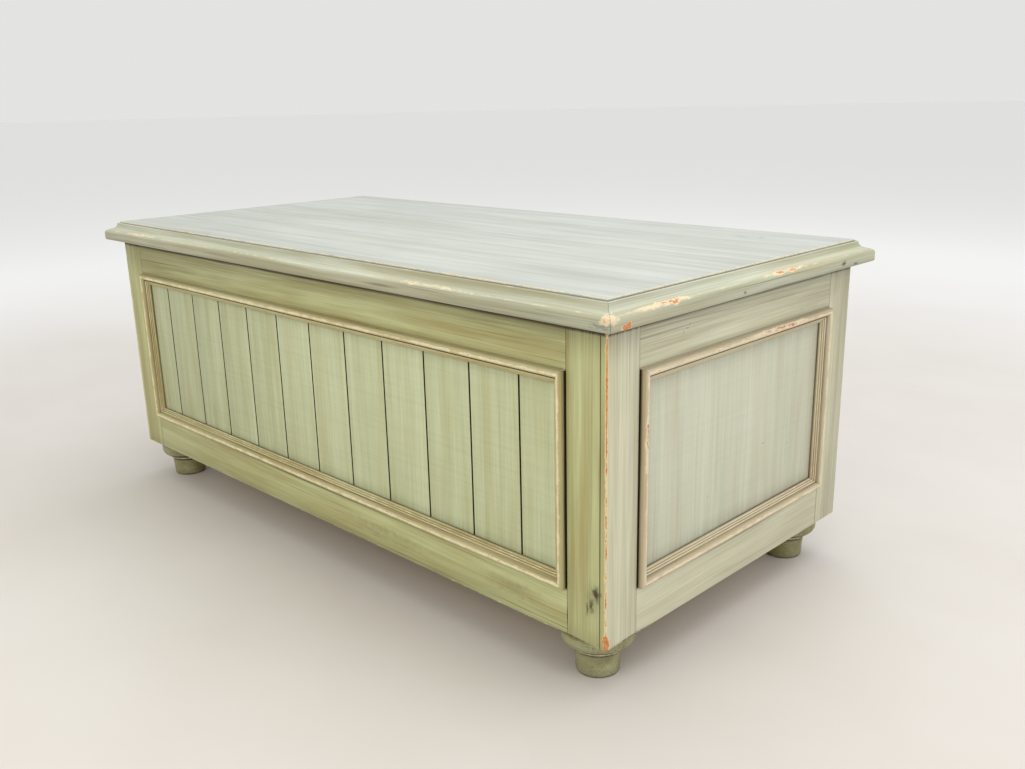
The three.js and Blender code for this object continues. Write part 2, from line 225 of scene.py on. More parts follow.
def new_material(name: str) -> tuple[Material, Tree]:
    """Starts a node material.

    Args:
        name: the material's name.

    Returns:
        The material and its empty tree.
    """
    material = bpy.data.materials.new(name)
    material.use_nodes = True
    material.node_tree.nodes.clear()
    return material, material.node_tree


def finish_surface(tree: Tree, inputs: dict) -> None:
    """Ends a tree with a principled shader.

    Args:
        tree: the material's tree.
        inputs: for the shader, as add_node takes them.
    """
    shader = add_node(tree, "ShaderNodeBsdfPrincipled", None, inputs)
    add_node(tree, "ShaderNodeOutputMaterial", None, {"Surface": shader.outputs[0]})


class Mask(Enum):
    """What a mark on a painted piece does there."""

    WEAR = "wear"  # the coat is rubbed or chipped away
    # The glaze mask also carries painted shade.
    GLAZE_AND_SHADE = "glaze"  # the dark glaze lies thick


@dataclass(frozen=True)
class Mark:
    """A soft-edged patch of wear, glaze or painted shade, fixed in the bench's own space.

    Attributes:
        mask: what the mark does.
        centre: middle of the patch, in millimetres.
        reach: half sizes along X, Y and Z in millimetres; WHOLE_RUN leaves an axis free.
        strength: value at the middle; the mark fades to nothing at its reach.
        ragged: millimetres by which its border wanders.
    """

    mask: Mask
    centre: tuple[float, float, float]
    reach: tuple[float, float, float]
    strength: float
    ragged: float = 0.0

    def draw(self, tree: Tree, place: Socket, bays: Socket) -> Socket:
        """Adds the nodes that measure this mark.

        Args:
            tree: the material's tree.
            place: output with the point in object space.
            bays: output with a vector of noise round zero.

        Returns:
            Output that holds the mark's strength at the point.
        """
        scale = [PER_METRE / r if r != WHOLE_RUN else 0.0 for r in self.reach]
        shift = [-c * MM * s for c, s in zip(self.centre, scale)]
        if self.ragged:
            by = (self.ragged * MM,) * 3
            place = add_node(
                tree, "ShaderNodeVectorMath", {"operation": "MULTIPLY_ADD"},
                {0: bays, 1: by, 2: place},
            ).outputs[0]
        scaled = add_node(
            tree, "ShaderNodeMapping", {"vector_type": "POINT"},
            {"Vector": place, "Scale": scale, "Location": shift},
        )
        distance = add_node(
            tree, "ShaderNodeVectorMath", {"operation": "LENGTH"}, {0: scaled.outputs[0]}
        )
        target = (self.strength, 0.0)
        return ranged(tree, distance.outputs["Value"], target=target, curve="SMOOTHSTEP")


@dataclass(frozen=True)
class Streak:
    """Noise drawn out along the grain.

    Attributes:
        length: millimetres along the grain.
        width: millimetres across it.
        low: noise value where the streak starts.
        high: noise value where it is full.
        detail: octaves of finer noise.
    """

    length: float
    width: float
    low: float = 0.3
    high: float = 0.7
    detail: float = 2.0

    def draw(self, tree: Tree, grain: Socket) -> Socket:
        """Adds the streak's nodes.

        Args:
            tree: the material's tree.
            grain: output with the point in grain space, x along the fibres.

        Returns:
            Output from 0 to 1.
        """
        scale = (PER_METRE / self.length, PER_METRE / self.width, PER_METRE / self.width)
        stretched = add_node(tree, "ShaderNodeMapping", None, {"Vector": grain, "Scale": scale})
        value = add_node(
            tree, "ShaderNodeTexNoise", None,
            {"Vector": stretched.outputs[0], "Scale": 1.0, "Detail": self.detail, "Roughness": 0.55},
        )
        return ranged(tree, value.outputs[0], (self.low, self.high))


# ---- Finishes --------------------------------------------------------------------------------
@dataclass(frozen=True)
class PaintedPine:
    """Pine under a brushed coat of sage milk paint, an antiquing glaze and matt varnish.

    The eye gets a low sheen, fine bristle lines along the grain, brown glaze in every quirk, and on the
    arrises first the cream undercoat and then orange wood. Where the marks and sections ask for it, the
    glaze's colour is painted shade.

    Attributes:
        name: the material's name.
        light: paint where the brush left it thick.
        dark: paint where it is thin or has taken up glaze.
        glaze: colour of the antiquing glaze, which also paints shade.
        undercoat: what rubbed paint shows first.
        wood: bare pine under it.
        knot_wood: its darker fibres.
        streaking: share of the broad brush streaks in the colour.
        glazing: share of glaze that stays in the bristle lines of the open face.
        cross: share of strokes that run across the grain.
        stain: colour of the thin brown haze that the glaze left on open faces.
        staining: share of that haze.
        roughness: of the varnish.
        marks: wear, glaze and painted shade in known places.
    """

    name: str
    light: str
    dark: str
    glaze: str = "#4a4420"
    undercoat: str = "#d9c79c"
    wood: str = "#dd9a5e"
    knot_wood: str = "#a5602c"
    streaking: float = 0.5
    glazing: float = 0.25
    cross: float = 0.0
    stain: str = "#96854a"
    staining: float = 0.3
    roughness: float = 0.56
    marks: tuple[Mark, ...] = ()

    def strongest(self, tree: Tree, mask: Mask, place: Socket, bays: Socket) -> Socket:
        """Joins a mask's vertex attribute with its marks.

        Args:
            tree: the material's tree.
            mask: which of the masks.
            place: output with the point in object space.
            bays: output with a vector of noise round zero.

        Returns:
            Output with the largest value at the point.
        """
        total = add_node(tree, "ShaderNodeAttribute", {"attribute_name": mask.value}).outputs["Fac"]
        for mark in self.marks:
            if mark.mask is mask:
                total = add_node(
                    tree, "ShaderNodeMath", {"operation": "MAXIMUM"},
                    {0: total, 1: mark.draw(tree, place, bays)},
                ).outputs[0]
        return total

    def material(self) -> Material:
        """Builds the finish.

        Returns:
            The node material.
        """
        material, tree = new_material(self.name)
        place, grain = object_space(tree), grain_space(tree)
        turned = add_node(
            tree, "ShaderNodeMapping", None, {"Vector": grain, "Rotation": (0, 0, math.pi / 2)}
        ).outputs[0]

        # Clouds of 260 x 120 mm, brush strokes of 420 x 16 mm and bristle lines of 120 x 1.7 mm. A real
        # bristle line is 0.4 mm wide and is drawn four times as wide, so that it shows.
        clouds = Streak(260, 120, 0.32, 0.68, 3).draw(tree, grain)
        strokes = Streak(420, 16, 0.36, 0.66).draw(tree, grain)
        bristles = Streak(120, 1.7, 0.30, 0.74, 3).draw(tree, grain)
        crossing = Streak(160, 5, 0.45, 0.72).draw(tree, turned)
        ragged = Streak(16, 7, 0.25, 0.75, 4).draw(tree, grain)
        crumbs = Streak(3.2, 1.6, 0.25, 0.75, 2).draw(tree, grain)

        # Bays of about 9 mm, for the borders of the marks.
        wander = add_node(
            tree, "ShaderNodeTexNoise", None,
            {"Vector": place, "Scale": PER_METRE / 9, "Detail": 3.0, "Roughness": 0.6},
        ).outputs["Color"]
        bays = add_node(
            tree, "ShaderNodeVectorMath", {"operation": "SUBTRACT"}, {0: wander, 1: (0.5, 0.5, 0.5)}
        ).outputs[0]

        shade = product(tree, clouds, 0.45)
        for part, share in ((strokes, self.streaking), (bristles, 0.62), (crossing, self.cross)):
            shade = plus_share(tree, part, share, shade)
        shade = ranged(tree, shade, (0.25, 1.28))
        paint = blend(tree, shade, linear(self.light), linear(self.dark))

        # The haze lies in brushed patches of 260 x 24 mm.
        haze = product(tree, Streak(260, 24, 0.44, 0.72, 3).draw(tree, grain), self.staining)
        paint = blend(tree, haze, paint, linear(self.stain))

        # Glaze, which in many places is painted shade: where the masks say, broken up by the bristle
        # lines, and a little in thin lines elsewhere.
        lines = Streak(210, 2.6, 0.60, 0.74, 3).draw(tree, grain)
        held = self.strongest(tree, Mask.GLAZE_AND_SHADE, place, bays)
        held = product(tree, held, ranged(tree, bristles, target=(0.62, 1.12)))
        paint = blend(
            tree, plus_share(tree, lines, self.glazing, held, True), paint, linear(self.glaze)
        )

        # Wear: the mask pushed up by ragged noise, then cut at two levels.
        wear = self.strongest(tree, Mask.WEAR, place, bays)
        for part, share in ((ragged, 0.42), (crumbs, 0.16)):
            wear = plus_share(tree, part, share, wear)
        rubbed, bare = ranged(tree, wear, (0.70, 0.92)), ranged(tree, wear, (1.0, 1.12))
        undercoat = blend(tree, rubbed, paint, linear(self.undercoat))
        fibres = blend(tree, crumbs, linear(self.wood), linear(self.knot_wood))

        # Varnish is duller in the bristle lines and on rubbed places.
        roughness = ranged(tree, bristles, target=(self.roughness - 0.06, self.roughness + 0.1))
        coat = plus_share(tree, rubbed, -0.9, bristles)
        finish_surface(tree, {
            "Base Color": blend(tree, bare, undercoat, fibres),
            "Roughness": plus_share(tree, rubbed, 0.14, roughness),
            "IOR": PINE_AND_PAINT_IOR,
            "Normal": bump(tree, coat, 0.45, 0.25 * MM),
        })
        return material


@dataclass(frozen=True)
class BarePine:
    """Planed pine left bare: pale straw early wood, wandering amber late-wood lines, a dry surface.

    Attributes:
        name: the material's name.
        early: the pale wood.
        late: the darker lines.
    """

    name: str = "planed_bare_pine"
    early: str = "#dbcaa6"
    late: str = "#b8976a"

    def material(self) -> Material:
        """Builds the finish.

        Returns:
            The node material.
        """
        material, tree = new_material(self.name)
        grain = grain_space(tree)
        # Late-wood lines run for most of a metre, 4 to 12 mm apart on a flat-sawn face.
        rings = Streak(900, 9, 0.46, 0.66, 3).draw(tree, grain)
        fibres = Streak(60, 0.9, 0.3, 0.7, 2).draw(tree, grain)
        clouds = Streak(300, 60, 0.3, 0.7, 2).draw(tree, grain)
        tone = plus_share(tree, fibres, 0.3, product(tree, rings, 0.6), True)
        wood = blend(tree, tone, linear(self.early), linear(self.late))
        finish_surface(tree, {
            "Base Color": blend(tree, 1.0, wood, ranged(tree, clouds, target=(0.86, 1.0)), "MULTIPLY"),
            "Roughness": ranged(tree, tone, target=(0.74, 0.62)),
            "IOR": PINE_AND_PAINT_IOR,
            "Normal": bump(tree, tone, 0.35, 0.2 * MM),
        })
        return material


@dataclass(frozen=True)
class WornMetal:
    """Plated or solid metal fittings, handled for years: bright where rubbed, darker and duller elsewhere.

    Attributes:
        name: the material's name.
        bright: colour of the clean metal.
        tarnish: colour of its film.
        roughness: of the clean metal.
        scratch: millimetres from one fine scratch to the next.
    """

    name: str
    bright: str
    tarnish: str
    roughness: float
    scratch: float = 0.8

    def material(self) -> Material:
        """Builds the finish.

        Returns:
            The node material.
        """
        material, tree = new_material(self.name)
        place = object_space(tree)
        # Tarnish gathers in 9 mm clouds; the scratches run along X, as a cloth or a thumb goes.
        film = Streak(9, 9, 0.38, 0.66, 4).draw(tree, place)
        scratches = Streak(14, self.scratch, 0.35, 0.7, 2).draw(tree, place)
        dull = ranged(tree, film, target=(self.roughness, self.roughness + 0.28))
        finish_surface(tree, {
            "Base Color": blend(tree, film, linear(self.bright), linear(self.tarnish)),
            "Metallic": 1.0,
            "Roughness": plus_share(tree, scratches, 0.08, dull),
            "Normal": bump(tree, scratches, 0.2, 0.05 * MM),
        })
        return material


@dataclass(frozen=True)
class StudioFloor:
    """Pale matt studio floor: a very faint unevenness of tone, and paler with distance, like a sweep.

    Attributes:
        name: the material's name.
        pale: its main colour.
        deeper: colour of the faint clouds.
        far: colour away from the bench.
    """

    name: str = "pale_studio_floor"
    pale: str = "#d2cdc6"
    deeper: str = "#c9c3bb"
    far: str = "#fbfbfa"

    def material(self) -> Material:
        """Builds the finish.

        Returns:
            The node material.
        """
        material, tree = new_material(self.name)
        place = object_space(tree)
        clouds = Streak(700, 500, 0.3, 0.7, 4).draw(tree, place)
        near = blend(tree, clouds, linear(self.pale), linear(self.deeper))
        distance = add_node(tree, "ShaderNodeVectorMath", {"operation": "LENGTH"}, {0: place})
        # Paler from 0.9 m to 3.2 m away from the bench's middle.
        away = ranged(tree, distance.outputs["Value"], (0.9, 3.2), curve="SMOOTHSTEP")
        colour = blend(tree, away, near, linear(self.far))
        finish_surface(tree, {"Base Color": colour, "Roughness": 0.7})
        return material


def wear(
    centre: Sequence[float], reach: Sequence[float], strength: float, ragged: float = 6.0
) -> Mark:
    """Short way to write a mark of wear.

    Args:
        centre: as in Mark.
        reach: as in Mark.
        strength: as in Mark.
        ragged: as in Mark.

    Returns:
        The mark.
    """
    return Mark(Mask.WEAR, tuple(centre), tuple(reach), strength, ragged)


def glaze(
    centre: Sequence[float], reach: Sequence[float], strength: float, ragged: float = 0.0
) -> Mark:
    """Short way to write a mark of glaze, which is also used for painted shade.

    Args:
        centre: as in Mark.
        reach: as in Mark.
        strength: as in Mark.
        ragged: as in Mark.

    Returns:
        The mark.
    """
    return Mark(Mask.GLAZE_AND_SHADE, tuple(centre), tuple(reach), strength, ragged)


# The rubbed upright arrises of the case, the chip at the foot of the near one, glaze and painted shade
# under the lid, a darker line along the bottom edge above the near foot, and the fine dark joints between
# stiles and rails.
NEAR_ARRIS = (
    wear((530, -254, 0), (5.0, 5.0, WHOLE_RUN), 0.84, 3),
    wear((530, -254, 350), (2.3, 2.3, 170), 2.0, 2.0),
    wear((530, -254, 130), (2.6, 2.6, 90), 1.0, 3.0),
    wear((530, -254, 66), (8, 8, 17), 2.2, 14),
    glaze((530, -254, 418), (34, 34, 24), 0.45),
    glaze((521.6, -254, 0), (1.2, 2.0, WHOLE_RUN), 1.3),
    glaze((482, -254, 60.4), (50, 3, 2.3), 1.4, 2),
    glaze((530, -206, 60.4), (3, 50, 2.3), 1.4, 2),
)
FAR_ARRIS = (
    wear((-530, -254, 0), (3.4, 3.4, WHOLE_RUN), 0.55),
    glaze((-521.6, -254, 0), (1.1, 2.0, WHOLE_RUN), 1.0),
)
# Glaze and painted shade: a dark band on each face of the case just under the lid's edge.
UNDER_LID_GLAZE_AND_SHADE = tuple(
    glaze((x, y, z), (3 if x else WHOLE_RUN, 3 if y else WHOLE_RUN, reach), strength)
    for x, y in ((0, -254), (0, 254), (-530, 0), (530, 0))
    for z, reach, strength in ((414.5, 6.5, 1.5), (410, 34, 0.3))
)
FRONT_JOINTS = (
    glaze((475, -254, 0), (1.0, 3.0, WHOLE_RUN), 0.75),
    glaze((-475, -254, 0), (1.0, 3.0, WHOLE_RUN), 0.75),
    glaze((475, -254, 84), (1.3, 3.0, 26), 1.3),
)
END_JOINTS = tuple(
    glaze((x, y, 0), (3.0, 1.0, WHOLE_RUN), 0.6) for x in (-530, 530) for y in (-201, 201)
)


@dataclass(frozen=True)
class Palette:
    """Every finish of the bench, ready to hand to its pieces."""

    front: Material
    side: Material
    boards: Material
    panel: Material
    front_moulding: Material
    side_moulding: Material
    lid_top: Material
    lid_edge: Material
    foot: Material
    pine: Material
    brass: Material
    steel: Material

    @classmethod
    def mix(cls) -> "Palette":
        """Mixes the finishes.

        Returns:
            The finished palette.
        """
        # The front frame's paint is darker and more olive than the ends': partly its own colour, partly
        # painted shade on the front.
        front = PaintedPine(
            "sage_paint_and_painted_shade_on_front_frame", "#c0c592", "#9f9b68", glaze="#40350f", stain="#96803e",
            streaking=0.6, glazing=0.46, staining=0.5,
            marks=(
                *NEAR_ARRIS, *FAR_ARRIS, *UNDER_LID_GLAZE_AND_SHADE, *FRONT_JOINTS,
                wear((0, -254, 60), (WHOLE_RUN, 3.2, 3.2), 0.5),
                glaze((-420, -254, 396), (700, WHOLE_RUN, 44), 0.32),
                glaze((516, -254, 124), (10, WHOLE_RUN, 15), 1.3, 16),
                glaze((511, -254, 108), (5.5, WHOLE_RUN, 14), 1.1, 14),
                glaze((504, -254, 104), (4, WHOLE_RUN, 14), 0.9, 10),
                glaze((512, -254, 116), (17, WHOLE_RUN, 28), 0.4, 10),
                glaze((-330, -254, 388), (180, WHOLE_RUN, 16), 0.34, 30),
                glaze((150, -254, 82), (160, WHOLE_RUN, 14), 0.3, 30),
                glaze((390, -254, 88), (70, WHOLE_RUN, 16), 0.34, 30),
                # Darker along the bottom edge of the front.
                glaze((0, -254, 60), (WHOLE_RUN, WHOLE_RUN, 24), 0.22),
                # A dark line on the rail just below the bottom moulding's bead: glaze and painted shade.
                glaze((0, -254, 112.5), (470, 6, 4.5), 1.0),
            ),
        )
        # The ends' paint is paler and greyer than the front's: partly its own colour, partly painted light
        # on the ends.
        side = PaintedPine(
            "sage_paint_with_painted_light_and_shade_on_side_frame", "#d2d2b9", "#b0ac8e", glaze="#4a3d22", stain="#aa9c70",
            streaking=0.5, glazing=0.24, staining=0.22,
            marks=(
                *NEAR_ARRIS, *FAR_ARRIS, *UNDER_LID_GLAZE_AND_SHADE, *END_JOINTS,
                wear((530, 254, 0), (3.4, 3.4, WHOLE_RUN), 0.6),
                wear((530, 0, 60), (3.6, WHOLE_RUN, 3.6), 0.62),
                glaze((530, -118, 396), (WHOLE_RUN, 7, 1.6), 0.55),
                glaze((530, -113, 400), (WHOLE_RUN, 2.2, 6), 0.5),
                glaze((530, -124, 392), (WHOLE_RUN, 1.6, 5), 0.6),
                # Darker along the bottom edge of the end.
                glaze((530, 60, 60), (WHOLE_RUN, 200, 14), 0.2),
                glaze((530, 246, 0), (WHOLE_RUN, 52, WHOLE_RUN), 0.26, 20),
                glaze((530, 190, 396), (WHOLE_RUN, 170, 40), 0.26, 20),
                # A dark line on the rail just below the bottom moulding's bead: glaze and painted shade.
                glaze((530, 0, 112.5), (6, 204, 5), 1.1),
            ),
        )
        boards = PaintedPine(
            "sage_paint_and_painted_groove_shade_on_front_boards", "#c6cda8", "#aeb389", glaze="#1b1a0c", stain="#aa9a5c",
            streaking=0.4, glazing=0.1, cross=0.2, staining=0.26,
            marks=(
                # The grooves between the boards go near black with depth: painted shade in the grooves,
                # with some glaze.
                glaze((0, -247.0, 0), (WHOLE_RUN, 2.46, WHOLE_RUN), 12),
                glaze((-480, -249, 0), (560, WHOLE_RUN, WHOLE_RUN), 0.2),
                *(glaze((0, -249, z), (WHOLE_RUN, WHOLE_RUN, 24), 0.24) for z in (128, 356)),
            ),
        )
        panel = PaintedPine(
            "sage_paint_on_side_panels", "#c8cbb6", "#b3b39c", glaze="#5a5038", stain="#b8a582",
            streaking=0.35, glazing=0.08, cross=0.14, staining=0.22,
            marks=(
                glaze((530, 60, 215), (WHOLE_RUN, 5, 1.4), 0.6),
                glaze((530, 120, 200), (WHOLE_RUN, 4, 1.2), 0.5),
                glaze((530, -60, 180), (WHOLE_RUN, 1.6, 4), 0.4),
                *(glaze((0, 0, z), (WHOLE_RUN, WHOLE_RUN, 26), 0.24) for z in (130, 354)),
                *(glaze((0, y, 0), (WHOLE_RUN, 24, WHOLE_RUN), 0.2) for y in (-186, 186)),
            ),
        )
        front_moulding = PaintedPine(
            "rubbed_sage_paint_on_front_moulding", "#c9c295", "#aea16c", glaze="#33260c",
            stain="#a88c54", streaking=0.6, glazing=0.36, staining=0.34,
            undercoat="#dfd6b2", wood="#c8925a",
        )
        side_moulding = PaintedPine(
            "rubbed_sage_paint_on_side_moulding", "#d0c9ac", "#b8a986", glaze="#38280f",
            stain="#b5966a", streaking=0.5, glazing=0.28, staining=0.36,
            undercoat="#dccbae", wood="#cf9464",
            marks=(
                wear((538, 70, 364), (10, 160, 7), 0.84, 4),
                wear((538, -196, 290), (10, 6, 110), 0.76, 3),
            ),
        )
        lid_top = PaintedPine(
            "sage_paint_on_lid_board", "#bbbfb6", "#a1a399", glaze="#4a4535", stain="#a9a593",
            streaking=0.5, glazing=0.07, staining=0.2, roughness=0.46, undercoat="#d8cca4",
            marks=(
                *(wear((0, -256.3 * near, 450), (WHOLE_RUN, 2.4, 2.8), strength, 2)
                  for near, strength in ((1, 0.76), (-1, 0.62))),
                *(wear((532.3 * near, 0, 450), (2.4, WHOLE_RUN, 2.8), strength, 2)
                  for near, strength in ((1, 0.76), (-1, 0.62))),
                glaze((0, 0, 447.4), (WHOLE_RUN, WHOLE_RUN, 1.2), 0.7),
                glaze((402, 190, 450), (22, 2.4, WHOLE_RUN), 0.8),
                glaze((428, 196, 450), (7, 4, WHOLE_RUN), 0.8),
                glaze((-300, 230, 450), (14, 2, WHOLE_RUN), 0.5),
                glaze((60, 90, 450), (70, 1.6, WHOLE_RUN), 0.3),
            ),
        )
        lid_edge = PaintedPine(
            "rubbed_sage_paint_on_lid_edge", "#c9ccb8", "#a3a488", glaze="#2c2712", stain="#ad9f74",
            streaking=0.7, glazing=0.4, staining=0.5, undercoat="#d9c6a2", wood="#dd9a62",
            marks=(
                wear((549, -273, 434), (26, 26, 13), 0.8, 16),
                wear((552, -250, 424), (7, 13, 6), 1.9, 16),
                wear((548, -180, 437), (10, 100, 7), 0.88, 12),
                wear((548, 60, 437), (8, 110, 5), 0.86, 10),
                wear((300, -272, 437), (210, 8, 4.5), 0.66, 10),
                wear((-420, -272, 437), (110, 8, 4.5), 0.8, 10),
                glaze((200, -276, 428), (60, 5, 4), 0.6),
                glaze((552, 190, 428), (5, 11, 5), 1.1, 8),
                glaze((552, 222, 424), (5, 12, 4), 1.0, 8),
                glaze((552, -40, 425), (5, 6, 4), 1.0, 6),
                glaze((540, -276, 426), (26, 5, 5), 0.7, 14),
            ),
        )
        # The feet's near-black glaze colour paints their contact shadow and the shade in their quirks and
        # under the case, as well as glaze.
        foot = PaintedPine(
            "sage_paint_and_painted_shade_on_turned_feet", "#aaac85", "#858259", glaze="#1c1607", stain="#85723e",
            streaking=0.6, glazing=0.4, staining=0.4,
        )
        return cls(
            front=front.material(), side=side.material(), boards=boards.material(),
            panel=panel.material(), front_moulding=front_moulding.material(),
            side_moulding=side_moulding.material(), lid_top=lid_top.material(),
            lid_edge=lid_edge.material(), foot=foot.material(), pine=BarePine().material(),
            brass=WornMetal("aged_solid_brass", "#c9a55c", "#7d6234", 0.28).material(),
            steel=WornMetal("zinc_plated_steel", "#b9bbbd", "#8a8a86", 0.34).material(),
        )


# ---- Mesh tools ------------------------------------------------------------------------------
def copy_of_node(node: str) -> Mesh:
    """Copies a CAD node's mesh, merged and with its flat faces whole again.

    Args:
        node: the node's name.

    Returns:
        A new bmesh that the caller frees.
    """
    mesh = bmesh.new()
    mesh.from_mesh(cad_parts[node].data)
    bmesh.ops.remove_doubles(mesh, verts=mesh.verts, dist=WELD)
    bmesh.ops.dissolve_limit(
        mesh, angle_limit=math.radians(1), use_dissolve_boundaries=False,
        verts=mesh.verts, edges=mesh.edges,
    )
    return mesh


def extreme(mesh: Mesh, way: Vector) -> float:
    """Finds how far a mesh reaches.

    Args:
        mesh: the mesh to measure.
        way: direction to measure along.

    Returns:
        The furthest vertex's place along it, in metres.
    """
    return max(vert.co.dot(way) for vert in mesh.verts)


def soften(
    mesh: Mesh, width: float, ways: Sequence[Vector] = (), segments: int = 2,
    where: Callable[[bmesh.types.BMEdge], bool] | None = None,
) -> None:
    """Takes the sharpness off outside arrises.

    Args:
        mesh: the mesh to bevel.
        width: of the bevel, in metres.
        ways: only arrises that lie on the face furthest along one of these directions; all if empty.
        segments: of the bevel.
        where: a further test that an edge has to pass.
    """
    limits = [(way, extreme(mesh, way) - ON_PLANE) for way in ways]
    edges = []
    for edge in mesh.edges:
        if not edge.is_manifold or edge.calc_face_angle_signed(0.0) < SHARP_ARRIS:
            continue
        on_face = any(all(v.co.dot(way) >= limit for v in edge.verts) for way, limit in limits)
        if (on_face or not ways) and (where is None or where(edge)):
            edges.append(edge)
    if edges:
        bmesh.ops.bevel(
            mesh, geom=edges, offset=width, offset_type="OFFSET", segments=segments, profile=0.5,
            affect="EDGES", clamp_overlap=True, material=-1,
        )


def cut_across(mesh: Mesh, along: Vector, pitch: float) -> None:
    """Cuts a mesh into short lengths, so that its arrises can be worn unevenly.

    Args:
        mesh: the mesh to cut.
        along: direction that the cuts step along.
        pitch: metres from one cut to the next.
    """
    low, high = -extreme(mesh, -along), extreme(mesh, along)
    count = int((high - low) / pitch)
    for step in range(1, count):
        bmesh.ops.bisect_plane(
            mesh, geom=[*mesh.verts, *mesh.edges, *mesh.faces], dist=WELD,
            plane_co=along * (low + (high - low) * step / count), plane_no=along,
        )


def batter(
    mesh: Mesh, line: Vector, along: Vector, reach: float, depth: float, seed: int
) -> None:
    """Pushes an arris in by uneven amounts, as years of knocks do.

    Args:
        mesh: the mesh, already cut across.
        line: a point on the arris.
        along: direction of the arris.
        reach: how far from the arris a vertex still moves, in metres.
        depth: the most that it moves, in metres.
        seed: picks the pattern.
    """
    middle = sum((v.co for v in mesh.verts), Vector()) / len(mesh.verts)
    inward = middle - line
    inward -= along * inward.dot(along)
    for vert in mesh.verts:
        offset = vert.co - line
        offset -= along * offset.dot(along)
        if offset.length < reach:
            # Knocks about 17 mm long, and nicks of 4 mm on them.
            knock = noise.noise(Vector((vert.co.dot(along) * 60, seed, 0)))
            knock += 0.6 * noise.noise(Vector((vert.co.dot(along) * 230, seed, 5)))
            vert.co += inward.normalized() * depth * max(0.0, knock) * (1 - offset.length / reach)


def put(name: str, data: bpy.types.ID) -> bpy.types.Object:
    """Puts an object in the scene.

    Args:
        name: its name.
        data: its mesh, lamp or camera.

    Returns:
        The new object.
    """
    thing = bpy.data.objects.new(name, data)
    bpy.context.scene.collection.objects.link(thing)
    return thing


@dataclass(frozen=True)
class Grain:
    """How the fibres of a piece run.

    Attributes:
        along: direction of the fibres.
        across: direction across the face.
    """

    along: Vector
    across: Vector

    def lay(self, mesh: Mesh, seed: int) -> None:
        """Writes grain space to the mesh: x along the fibres, shifted so that no two pieces match.

        Args:
            mesh: the mesh to mark.
            seed: picks the shift.
        """
        layers = mesh.verts.layers.float_vector
        layer = layers.get("grain") or layers.new("grain")
        draw = random.Random(SEED + seed)
        shift = Vector([draw.uniform(0, 20) for _ in range(3)])
        through = self.along.cross(self.across)
        for vert in mesh.verts:
            point = vert.co
            vert[layer] = shift + Vector(
                (point.dot(self.along), point.dot(self.across), point.dot(through))
            )


@dataclass
class Maker:
    """Turns finished meshes into pieces that ride on the frame.

    Attributes:
        count: pieces made so far, which also seeds each piece's grain.
        names: what has been made.
    """

    count: int = 0
    names: list[str] = field(default_factory=list)

    def piece(
        self, mesh: Mesh, name: str, body: str, slot: str,
        materials: Sequence[Material], replaced: Iterable[str] = (),
        sharp: float = 38.0,
    ) -> bpy.types.Object:
        """Makes one piece from a bmesh and frees it.

        Args:
            mesh: the finished mesh, in place.
            name: the piece's name.
            body: the CAD body that it rides on.
            slot: the record's material slot; not used.
            materials: in the order of the faces' material numbers.
            replaced: the CAD nodes that it stands for.
            sharp: edges that turn more than this many degrees are drawn sharp.

        Returns:
            The new object.
        """
        for face in mesh.faces:
            face.smooth = True
        for edge in mesh.edges:
            edge.smooth = edge.is_manifold and edge.calc_face_angle(0.0) < math.radians(sharp)
        data = bpy.data.meshes.new(name)
        mesh.to_mesh(data)
        mesh.free()
        for spare in ("custom_normal", "UVMap"):
            if spare in data.attributes:
                data.attributes.remove(data.attributes[spare])
        thing = put(name, data)
        for material in materials:
            data.materials.append(material)
        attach(thing, body)
        if replaced:
            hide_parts(*replaced)
        self.count += 1
        self.names.append(name)
        log.info("%s on %s: %d faces", name, body, len(data.polygons))
        return thing

    def wood(
        self, mesh: Mesh, node: str, body: str, slot: str, grain: Grain,
        outside: Material, inside: Material | None = None,
        outward: Vector | None = None, front: Material | None = None,
    ) -> bpy.types.Object:
        """Makes a wooden piece that stands for one CAD node.

        Args:
            mesh: the finished mesh, in place.
            node: the CAD node that it replaces.
            body: the body that it rides on.
            slot: the record's material slot.
            grain: how its fibres run.
            outside: its coat.
            inside: what its hidden face wears, if that is different.
            outward: direction that its coated face looks.
            front: what its face towards the front wears, if that is different; the corner stiles get the
                front frame's paint, which is partly painted shade.

        Returns:
            The new object.
        """
        grain.lay(mesh, self.count)
        mesh.normal_update()
        for face in mesh.faces:
            hidden = inside is not None and face.normal.dot(outward) < FACES_IN
            face.material_index = 1 if hidden else 0
            if front is not None and face.normal.dot(NORTH) < FACES_FRONT:
                face.material_index = 2
        materials = [coat for coat in (outside, inside, front) if coat is not None]
        return self.piece(mesh, f"{node}_wood", body, slot, materials, [node])


@dataclass(frozen=True)
class SectionPoint:
    """A point of a moulded or turned section.

    Attributes:
        across: millimetres across the moulding, or out from the centre of a turning.
        up: millimetres up from its bed.
        wear: how far the coat is rubbed there.
        glaze: how much glaze stays there, which is partly painted shade.
    """

    across: float
    up: float
    wear: float = 0.0
    glaze: float = 0.0


def profile(*rows: tuple[float, ...]) -> list[SectionPoint]:
    """Writes section points as rows of across, up, wear and glaze.

    Args:
        rows: one for each point; its wear and glaze are 0 where they are left out.

    Returns:
        The points in order.
    """
    return [SectionPoint(*row) for row in rows]


def draw_section(
    mesh: Mesh, section: Iterable[SectionPoint], place: Callable[[SectionPoint], Sequence[float]]
) -> list[bmesh.types.BMVert]:
    """Draws a section's points into an empty mesh, with their wear, and their glaze and painted shade.

    Args:
        mesh: the mesh that gets them.
        section: the points.
        place: gives a point's place in metres.

    Returns:
        The vertices in order.
    """
    worn = mesh.verts.layers.float.new(Mask.WEAR.value)
    glazed = mesh.verts.layers.float.new(Mask.GLAZE_AND_SHADE.value)
    drawn = []
    for point in section:
        vert = mesh.verts.new(place(point))
        vert[worn], vert[glazed] = point.wear, point.glaze
        drawn.append(vert)
    return drawn


